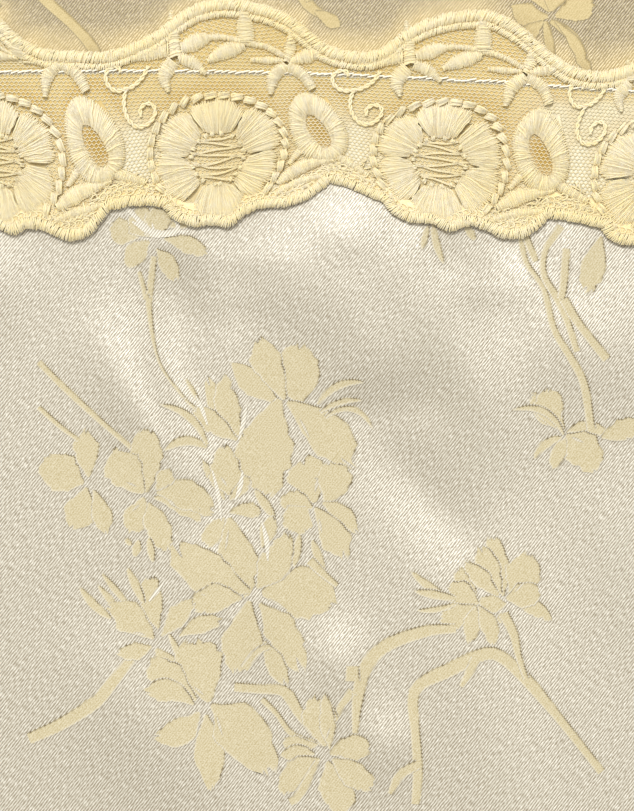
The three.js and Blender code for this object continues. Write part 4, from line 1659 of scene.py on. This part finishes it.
@dataclass(frozen=True)
class JacquardFinish:
    """The figure woven into the satin in weft-faced weave.

    Its wefts were beaten up tight over the warp, so that it is matt and creamy gold. Its outline is painted
    light: a broken brown line of painted shadow on the edges that face the light, as if the figure lay
    sunk below the floats, and a pale line of painted highlight on the other edges. Thin slits inside the
    petals bare the satin, painted bright as a glint.
    """

    name: str = "weft-faced jacquard figure"
    colour: str = "D2C9AE"
    weft_colour: str = "B0A27A"
    shadow_line_colour: str = "5A4B32"
    highlight_colour: str = "F3F0E6"
    float_colour: str = "D4CFC0"
    gap_colour: str = "8C8069"
    rim: float = 0.22
    tooth: float = 0.24
    # The wefts are about 0.1 mm broad and drawn twice as broad, as the floats are.
    weft_scale: float = 4200.0
    weft_relief: float = 0.02
    weft_roughness: float = 0.8
    float_roughness: float = 0.42
    float_lustre: float = 0.14
    sheen: float = 0.15
    # How hard and strong the edge line is, and the patches of about 2.4 mm in which it comes and goes.
    line_hardness: float = 6.0
    pale_line: float = 0.2
    dark_line: float = 0.86
    patch_scale: float = 420.0
    patch_gain: float = 3.2
    patch_cut: float = 0.85
    rim_hardness: float = 12.0
    twill: Twill = field(default_factory=Twill)

    def material(self) -> bpy.types.Material:
        """Builds the figure's finish.

        Returns:
            Its material, which reads the edge distance, the painted edge shade and the slits from attributes.
        """
        material, add, place = start_material(self.name)
        lines, dashes = self.twill.weave(add, place)
        marks = [add("Attribute", attribute_name=name).outputs["Fac"] for name in ("edge", "bare", "dark")]
        edge, bare, dark = marks
        # The weft's ground, the satin round the figure and the satin in its slits, painted bright as a glint.
        fibre = add("TexNoise", {"Vector": place, "Scale": self.weft_scale, "Detail": 1.0})
        weft = add("Math", {0: lines, 1: 0.2, 2: fibre}, **SCALED)
        level = add("Math", {0: weft, 1: 2.0, 2: -0.7}, **CLAMPED)
        fill = add("Mix", {0: level, 6: self.weft_colour, 7: self.colour}, **COLOURED)
        broken = add("Math", {0: dashes, 1: 1.5, 2: -0.75}, **SCALED)
        float_level = add("Math", {0: lines, 1: broken}, operation="ADD", use_clamp=True)
        satin = add("Mix", {0: float_level, 6: self.gap_colour, 7: self.float_colour}, **COLOURED)
        shine = add("Math", {0: lines, 1: 0.9, 2: 0.22}, **CLAMPED)
        slit = add("Mix", {0: shine, 6: self.gap_colour, 7: self.highlight_colour}, **COLOURED)
        ground = add("Mix", {0: bare, 6: fill, 7: slit}, **COLOURED)
        # The edge line, which follows the floats in small teeth and comes and goes: painted shadow on the
        # edges towards the light, painted highlight on the others.
        reach = add("Math", {0: lines, 1: self.tooth, 2: self.rim + 0.16}, **SCALED)
        inward = add("Math", {0: reach, 1: edge}, operation="SUBTRACT")
        drawn = add("Math", {0: inward, 1: self.line_hardness}, operation="MULTIPLY", use_clamp=True)
        line = add("Mix", {0: dark, 6: self.highlight_colour, 7: self.shadow_line_colour}, **COLOURED)
        patch = add("TexNoise", {"Vector": place, "Scale": self.patch_scale, "Detail": 1.0})
        come_and_go = add("Math", {0: patch, 1: self.patch_gain, 2: -self.patch_cut}, **CLAMPED)
        strength = add("Math", {0: dark, 1: self.dark_line - self.pale_line, 2: self.pale_line}, **SCALED)
        uneven = add("Math", {0: strength, 1: come_and_go}, operation="MULTIPLY")
        shown = add("Math", {0: drawn, 1: uneven}, operation="MULTIPLY")
        solid = add("Math", {0: 1.0, 1: bare}, operation="SUBTRACT")
        kept = add("Math", {0: shown, 1: solid}, operation="MULTIPLY", use_clamp=True)
        figure = add("Mix", {0: kept, 6: ground, 7: line}, **COLOURED)
        # Past the jagged outline the satin goes on.
        jag = add("Math", {0: lines, 1: 0.2, 2: self.rim - 0.1}, **SCALED)
        outside = add("Math", {0: jag, 1: edge}, operation="SUBTRACT")
        outer = add("Math", {0: outside, 1: self.rim_hardness}, operation="MULTIPLY", use_clamp=True)
        parted = add("Math", {0: outer, 1: solid}, operation="MULTIPLY")
        smoother = self.float_roughness - self.weft_roughness
        shader = add(
            "BsdfPrincipled",
            {
                "Base Color": add("Mix", {0: parted, 6: figure, 7: satin}, **COLOURED),
                "Metallic": add("Math", {0: parted, 1: self.float_lustre}, operation="MULTIPLY"),
                "Roughness": add("Math", {0: parted, 1: smoother, 2: self.weft_roughness}, **SCALED),
                "Specular IOR Level": 0.3,
                "Sheen Weight": self.sheen,
                "Normal": add("Bump", {"Height": level, "Distance": self.weft_relief * MM, "Strength": 1.0}),
            },
        )
        add("OutputMaterial", {"Surface": shader})
        return material


@dataclass
class Repeat:
    """One repeat of the woven pattern, drawn flat in millimetres about its own origin."""

    along: int = 12
    across: int = 8
    slits: bool = True
    seed: int = 4
    rim: float = 0.22
    light: tuple[float, float] = (0.62, 0.78)
    spike_breadth: float = 2.2
    slit_breadth: float = 5.2
    layer_rise: float = 0.0025
    layers: int = 24
    glints: Sequence[Stem] = GLINTS
    stems: Sequence[Stem] = STEMS
    blossoms: Sequence[Petal] = BLOSSOMS

    def __post_init__(self) -> None:
        """Starts the flat drawing."""
        self.chance = np.random.default_rng(self.seed)
        self.bm = bmesh.new()
        layers = self.bm.verts.layers.float
        self.edge, self.dark, self.bare = [layers.new(name) for name in ("edge", "dark", "bare")]
        self.layer = 0

    def strip(
        self, middle: Path, half: Array, blunt: bool = False, bare: float = 0.0, lift: Array | None = None
    ) -> None:
        """Draws one shape as a grid of faces about a middle line.

        Args:
            middle: the middle line's points, evenly spaced.
            half: half the breadth at each.
            blunt: whether its end is drawn with an edge line.
            bare: how far it is a slit that bares the satin, 0 to 1.
            lift: how far each point of a row is drawn forward, as a share of the length, for its tip's shape.
        """
        rows, columns = len(middle), 3 if bare else self.across + 1
        half = half if bare else half + self.rim
        corners, column, row = add_grid(self.bm, columns, rows)
        v, u = column / (columns - 1) * 2 - 1, row / (rows - 1)
        run, left = directions(middle)
        length = np.linalg.norm(np.diff(middle, axis=0), axis=1).sum()
        forward = np.zeros(len(v)) if lift is None else even_read(lift, (v + 1) / 2) * u**4
        flat = middle[row] - left[row] * (v * half[row])[:, None] + run[row] * (forward * length)[:, None]
        to_side = (1 - np.abs(v)) * half[row]
        to_tip = (1 - u) * length if blunt else np.full(len(v), np.inf)
        outward = np.where((to_side <= to_tip)[:, None], -left[row] * np.sign(v)[:, None], run[row])
        # Painted shade: edges that face towards light take the brown line of painted shadow, the others the
        # pale line of painted highlight.
        dark = soft((outward @ np.array(self.light) + 0.35) / 0.8)
        self.layer += 1
        level = self.layer_rise * (self.layers + 2 if bare else self.layer % self.layers)
        reach, bared = np.minimum(to_side, to_tip), np.full(len(v), bare)
        places = np.column_stack([flat, np.full(len(v), level)])
        set_corners(corners, places, (self.edge, reach), (self.dark, dark), (self.bare, bared))

    def petal(self, p: Petal) -> None:
        """Draws a petal with a narrow claw, uneven sides and a rounded or notched tip.

        Args:
            p: the petal.
        """
        spike = p.breadth < self.spike_breadth
        t = np.linspace(0, 1, self.along + 1)
        run, side = heading(math.radians(p.turn))
        bow = p.bend * p.length * 4 * t * (1 - t)
        if spike:
            shape = np.interp(t, (0, 0.2, 0.55, 0.85, 1), (0.3, 0.8, 1, 0.6, 0.1))
        else:
            widest, blunt = self.chance.uniform(0.48, 0.7), self.chance.uniform(0.0, 1.0)
            tip = ((0.9, 0.46 + 0.26 * blunt), (1, 0.08 + 0.34 * blunt))
            knots = ((0, 0.1), (0.1, 0.3), (widest - 0.22, 0.85), (widest, 1.0)) + tip
            shape = along(knots, t) * (1 + self.chance.normal(0, 0.06, len(t)))
            bow = bow + self.chance.normal(0, 0.014, len(t)) * p.length * t
        middle = np.array([p.x, p.y]) + run * (t * p.length)[:, None] + side * bow[:, None]
        teeth = self.chance.uniform(-0.07, 0.07, self.across + 1)
        v = np.abs(np.linspace(-1, 1, self.across + 1) + self.chance.uniform(-0.2, 0.2))
        notch = teeth + p.notch * (np.interp(v, (0, 0.25, 0.5, 1), (-1.15, 0.1, 0.5, 0)))
        notch[[0, -1]] = -0.02
        self.strip(middle, shape * p.breadth / 2, blunt=True, lift=None if spike else notch)
        if self.slits and p.breadth > self.slit_breadth:
            for way in self.chance.choice([-1, 1], self.chance.integers(0, 2), replace=False):
                start, reach = self.chance.uniform(0.1, 0.24), self.chance.uniform(0.16, 0.3)
                w = np.linspace(start, start + reach, 5)
                off = way * p.breadth * (0.07 + 0.16 * (w - start) / reach)
                line = np.array([p.x, p.y]) + run * (w * p.length)[:, None] + side * off[:, None]
                half = np.array([0.05, 0.2, 0.28, 0.16, 0.03]) * self.chance.uniform(0.6, 1.2)
                self.strip(line, half, bare=0.5)

    def stem(self, s: Stem, step: float, bare: float = 0.0) -> None:
        """Draws a stem or a glint with faces step long; bare is how far it bares the satin, 0 to 1."""
        line, t = smooth_path(s.points, step)
        self.strip(line, even_read(s.breadth, t) / 2, bare=bare)

    def draw(self) -> bpy.types.Mesh:
        """Draws the whole repeat.

        Returns:
            The flat repeat as a mesh, in millimetres.
        """
        for s in self.stems:
            self.stem(s, 1.6 if self.slits else 5.0)
        for p in self.blossoms:
            self.petal(p)
        for g in self.glints if self.slits else ():
            self.stem(g, 1.2, bare=0.85)
        self.bm.normal_update()
        up = sum(face.normal.z for face in self.bm.faces)
        folded = [face for face in self.bm.faces if face.normal.z * up < 0]
        bmesh.ops.delete(self.bm, geom=folded, context="FACES")
        return to_mesh(self.bm, "repeat")


def overlap(shapes: Box, at: tuple[float, float], zone: Box) -> bool:
    """Finds whether shapes reach into a zone.

    Args:
        shapes: the box that they fill about their origin.
        at: where their origin is.
        zone: the zone's box.

    Returns:
        Whether the boxes overlap.
    """
    (x, y), (left, low, right, high) = at, zone
    across = x + shapes[0] < right and x + shapes[2] > left
    return across and y + shapes[1] < high and y + shapes[3] > low


@dataclass
class Jacquard:
    """The woven pattern laid over one face of a panel in a half-drop repeat."""

    name: str
    slot: str
    inside: Callable[[Array, Array], tuple[Array, Array]]
    level: Callable[[Array, Array], Array]
    finish: JacquardFinish
    top: float
    bottom: float = 0
    reach: float = 400
    lift: float = 0.05
    coarse_lift: float = 0.22
    origin_height: float = 1150
    step_x: float = 128
    step_y: float = 166
    close_box: Box = (-20, 1075, 100, 1240)
    # What a repeat's shapes fill about its origin, and the same with some slack.
    shapes_box: Box = (-18, -64, 105, 62)
    slack_box: Box = (-30, -75, 110, 90)
    sprays: bool = False

    def places(self) -> list[tuple[float, float]]:
        """Lists the origins of the repeats that reach the panel.

        Returns:
            x and the height up the dress of each.
        """
        panel = (-self.reach, self.bottom, self.reach, self.top)
        steps = [(i, j - (i % 2) / 2) for i in range(-5, 5) for j in range(-9, 4)]
        origins = [(i * self.step_x, self.origin_height + j * self.step_y) for i, j in steps]
        return [at for at in origins if overlap(self.slack_box, at, panel)]

    def is_close(self, x: float, height: float) -> bool:
        """Whether a repeat reaches the neckline zone that is drawn in full detail."""
        return overlap(self.shapes_box, (x, height), self.close_box)

    def build(self) -> None:
        """Lays the repeats and cuts them off at the panel's edges."""
        fine, coarse = Repeat().draw(), Repeat(along=4, across=2, slits=False).draw()
        laid = [
            (fine, self.lift, at) if self.is_close(*at) else (coarse, self.coarse_lift, at)
            for at in self.places()
        ]
        if self.sprays:
            spray = Repeat(glints=(), stems=SPRAY_STEMS, blossoms=SPRAY_BLOSSOMS).draw()
            laid.append((spray, self.lift, (0.0, self.origin_height)))
        bm = bmesh.new()
        lifts = []
        for drawing, lift, at in laid:
            before = len(bm.verts)
            bm.from_mesh(drawing)
            bm.verts.ensure_lookup_table()
            bmesh.ops.translate(bm, verts=bm.verts[before:], vec=(*at, 0))
            lifts += [lift] * (len(bm.verts) - before)
        for drawing in {drawing for drawing, _, _ in laid} | {fine, coarse}:
            bpy.data.meshes.remove(drawing)
        flat = np.array([v.co[:] for v in bm.verts])
        x, height = self.inside(flat[:, 0], flat[:, 1])
        shift = np.abs(np.column_stack([x, height]) - flat[:, :2])
        moved, far = (shift > 1e-4).any(axis=1), np.hypot(*shift.T) > 2.5
        z = self.level(x, height) + np.array(lifts) + np.sign(self.lift) * flat[:, 2]
        set_corners(bm.verts, to_world(x, height, z))
        gone = [
            face
            for face in bm.faces
            if all(moved[v.index] for v in face.verts) or any(far[v.index] for v in face.verts)
        ]
        bmesh.ops.delete(bm, geom=gone, context="FACES")
        if self.lift < 0:
            bmesh.ops.reverse_faces(bm, faces=bm.faces)
        mesh = to_mesh(bm, self.name)
        new_piece(self.name, mesh, self.finish.material())
        mesh.shade_flat()


def inside(x: Array, height: Array, margin: float, neck: Callable[[Array], Array]) -> tuple[Array, Array]:
    """Draws places in to a panel's outline.

    Args:
        x: places across.
        height: places up the dress.
        margin: how far inside the side seam they stay.
        neck: the highest place in the neck opening, for each x.

    Returns:
        The same places, those outside moved to just within the edge.
    """
    low = FORM.hem_rise * (x / FORM.half_width(np.zeros_like(x))) ** 2 + 2
    height = np.clip(height, low, FORM.length - 14)
    half = FORM.half_width(height) - margin
    x = np.clip(x, -half, half)
    return x, np.where(np.abs(x) < FORM.neck_half + 1.5, np.minimum(height, neck(x)), height)


def front_edge(x: Array) -> Array:
    """The height just below the front's neckline."""
    return FORM.front_neck - FORM.neck_arch * np.minimum(np.abs(x), FORM.neck_half) ** 2 - 1.2


def inside_back_neck(x: Array, height: Array) -> tuple[Array, Array]:
    """Draws places in to the part of the back's inner face that shows in the neck opening.

    Args:
        x: places across.
        height: places up the dress.

    Returns:
        The same places, those outside moved to just within the edge.
    """
    x = np.clip(x, -FORM.neck_half_at_shoulder + 2, FORM.neck_half_at_shoulder - 2)
    top = FORM.back_neck - FORM.back_scoop * np.maximum(0, 1 - (x / FORM.neck_half) ** 2) - 1.5
    return x, np.clip(height, FORM.front_neck - 8, top)


# ---------------------------------------------------------------- the room


@dataclass(frozen=True)
class Studio:
    """A plain pale floor, soft light and a camera straight above the neckline."""

    centre_x: float = 39.4
    centre_height: float = 1168.3
    view_height: float = 162.2
    distance: float = 600.0
    sensor: float = 36.0
    floor_size: float = 12.0
    key_energy: float = 2.3
    key_angle_deg: float = 17.0
    key_towards: tuple[float, float, float] = (0.2, -0.55, -1.05)
    surround: float = 0.83

    def camera(self) -> None:
        """Makes the camera, looking straight down with the neckline at the top."""
        data = bpy.data.cameras.new("camera")
        data.sensor_width = self.sensor
        data.lens = self.sensor * self.distance / self.view_height
        camera = add_object("camera", data)
        camera.location = to_world(self.centre_x, self.centre_height, self.distance)
        bpy.context.scene.camera = camera

    def floor(self) -> None:
        """Lays the floor that the dress rests on."""
        bm = bmesh.new()
        bmesh.ops.create_grid(bm, x_segments=1, y_segments=1, size=self.floor_size / 2)
        mesh = to_mesh(bm, "floor")
        # Uncoated paper, pressed flat: it scatters all light, so that the eye gets one even pale tone.
        material, add, _ = start_material("matt paper floor")
        paper = add("BsdfPrincipled", {"Base Color": "BEBAB2", "Roughness": 0.9})
        add("OutputMaterial", {"Surface": paper})
        mesh.materials.append(material)
        add_object("floor", mesh)

    def light(self) -> None:
        """Sets a broad key from the neck's side, a little from the left, and an even pale surround."""
        key = bpy.data.lights.new("key", "SUN")
        key.energy = self.key_energy
        key.angle = math.radians(self.key_angle_deg)
        turn = Vector(self.key_towards).to_track_quat("-Z", "Y")
        add_object("key", key).rotation_euler = turn.to_euler()
        world = bpy.data.worlds.new("surround")
        bpy.context.scene.world = world
        world.use_nodes = True
        background = world.node_tree.nodes["Background"]
        background.inputs["Color"].default_value = linear("F4F1EA")
        background.inputs["Strength"].default_value = self.surround

    def build(self) -> None:
        """Sets up the whole room."""
        self.camera()
        self.floor()
        self.light()
        bpy.context.scene.view_settings.view_transform = "Standard"


def main() -> None:
    """Builds the dress piece by piece and sets it in its room."""
    logging.basicConfig(level=logging.INFO, format="%(message)s")
    Studio().build()
    satin = SatinFinish()
    # The satin's wrong side: the wefts lie over the warp, so it is duller and deeper in colour. Its darker
    # gold also paints the shade that lies on the back's inner face in the neck opening.
    reverse = SatinFinish(
        "satin, inside", float_colour="A6976E", gap_colour="736244", glint_colour="D6C9A2",
        glow_colour="EFD590",
    )
    back = Panel(Side.BACK, reverse, satin, "satin_inside", fine_columns=60, fine_rows=50).build()
    front = Panel(Side.FRONT, satin, reverse, "satin").build()
    # The figure's wrong side: its wefts lie under the warp, so it is barely parted from the cloth round it.
    # Its satin takes the inside's darker gold, which also paints the shade in the neck opening.
    inner = JacquardFinish(
        "weft-faced jacquard figure, inside", "D6C598", "BCAA7A", shadow_line_colour="9A885E", highlight_colour="E6D8AC",
        float_colour="A6976E",
    )
    outer = JacquardFinish("weft-faced jacquard figure, outside of the back")
    low_neck = FORM.back_neck - FORM.back_scoop - 2
    on_front = partial(inside, margin=5.5, neck=front_edge)
    on_back = partial(inside, margin=4, neck=partial(np.full_like, fill_value=low_neck))
    Jacquard("front_figure", "satin", on_front, FORM.front_z, JacquardFinish(), FORM.length).build()
    Jacquard(
        "back_figure_inside", "satin_inside", inside_back_neck, lambda x, height: np.full_like(x, FORM.cloth),
        inner, FORM.back_neck, bottom=FORM.front_neck, reach=110, close_box=(-110, 1230, 110, 1335),
        sprays=True,
    ).build()
    Jacquard(
        "back_figure_outside", "satin", on_back, lambda x, height: np.full_like(x, FORM.cloth - 0.8), outer,
        FORM.length, lift=-0.1, coarse_lift=-0.1, close_box=(0, 9000, 0, 9000),
    ).build()
    Galloon(satin).build()


if __name__ == "__main__":
    main()
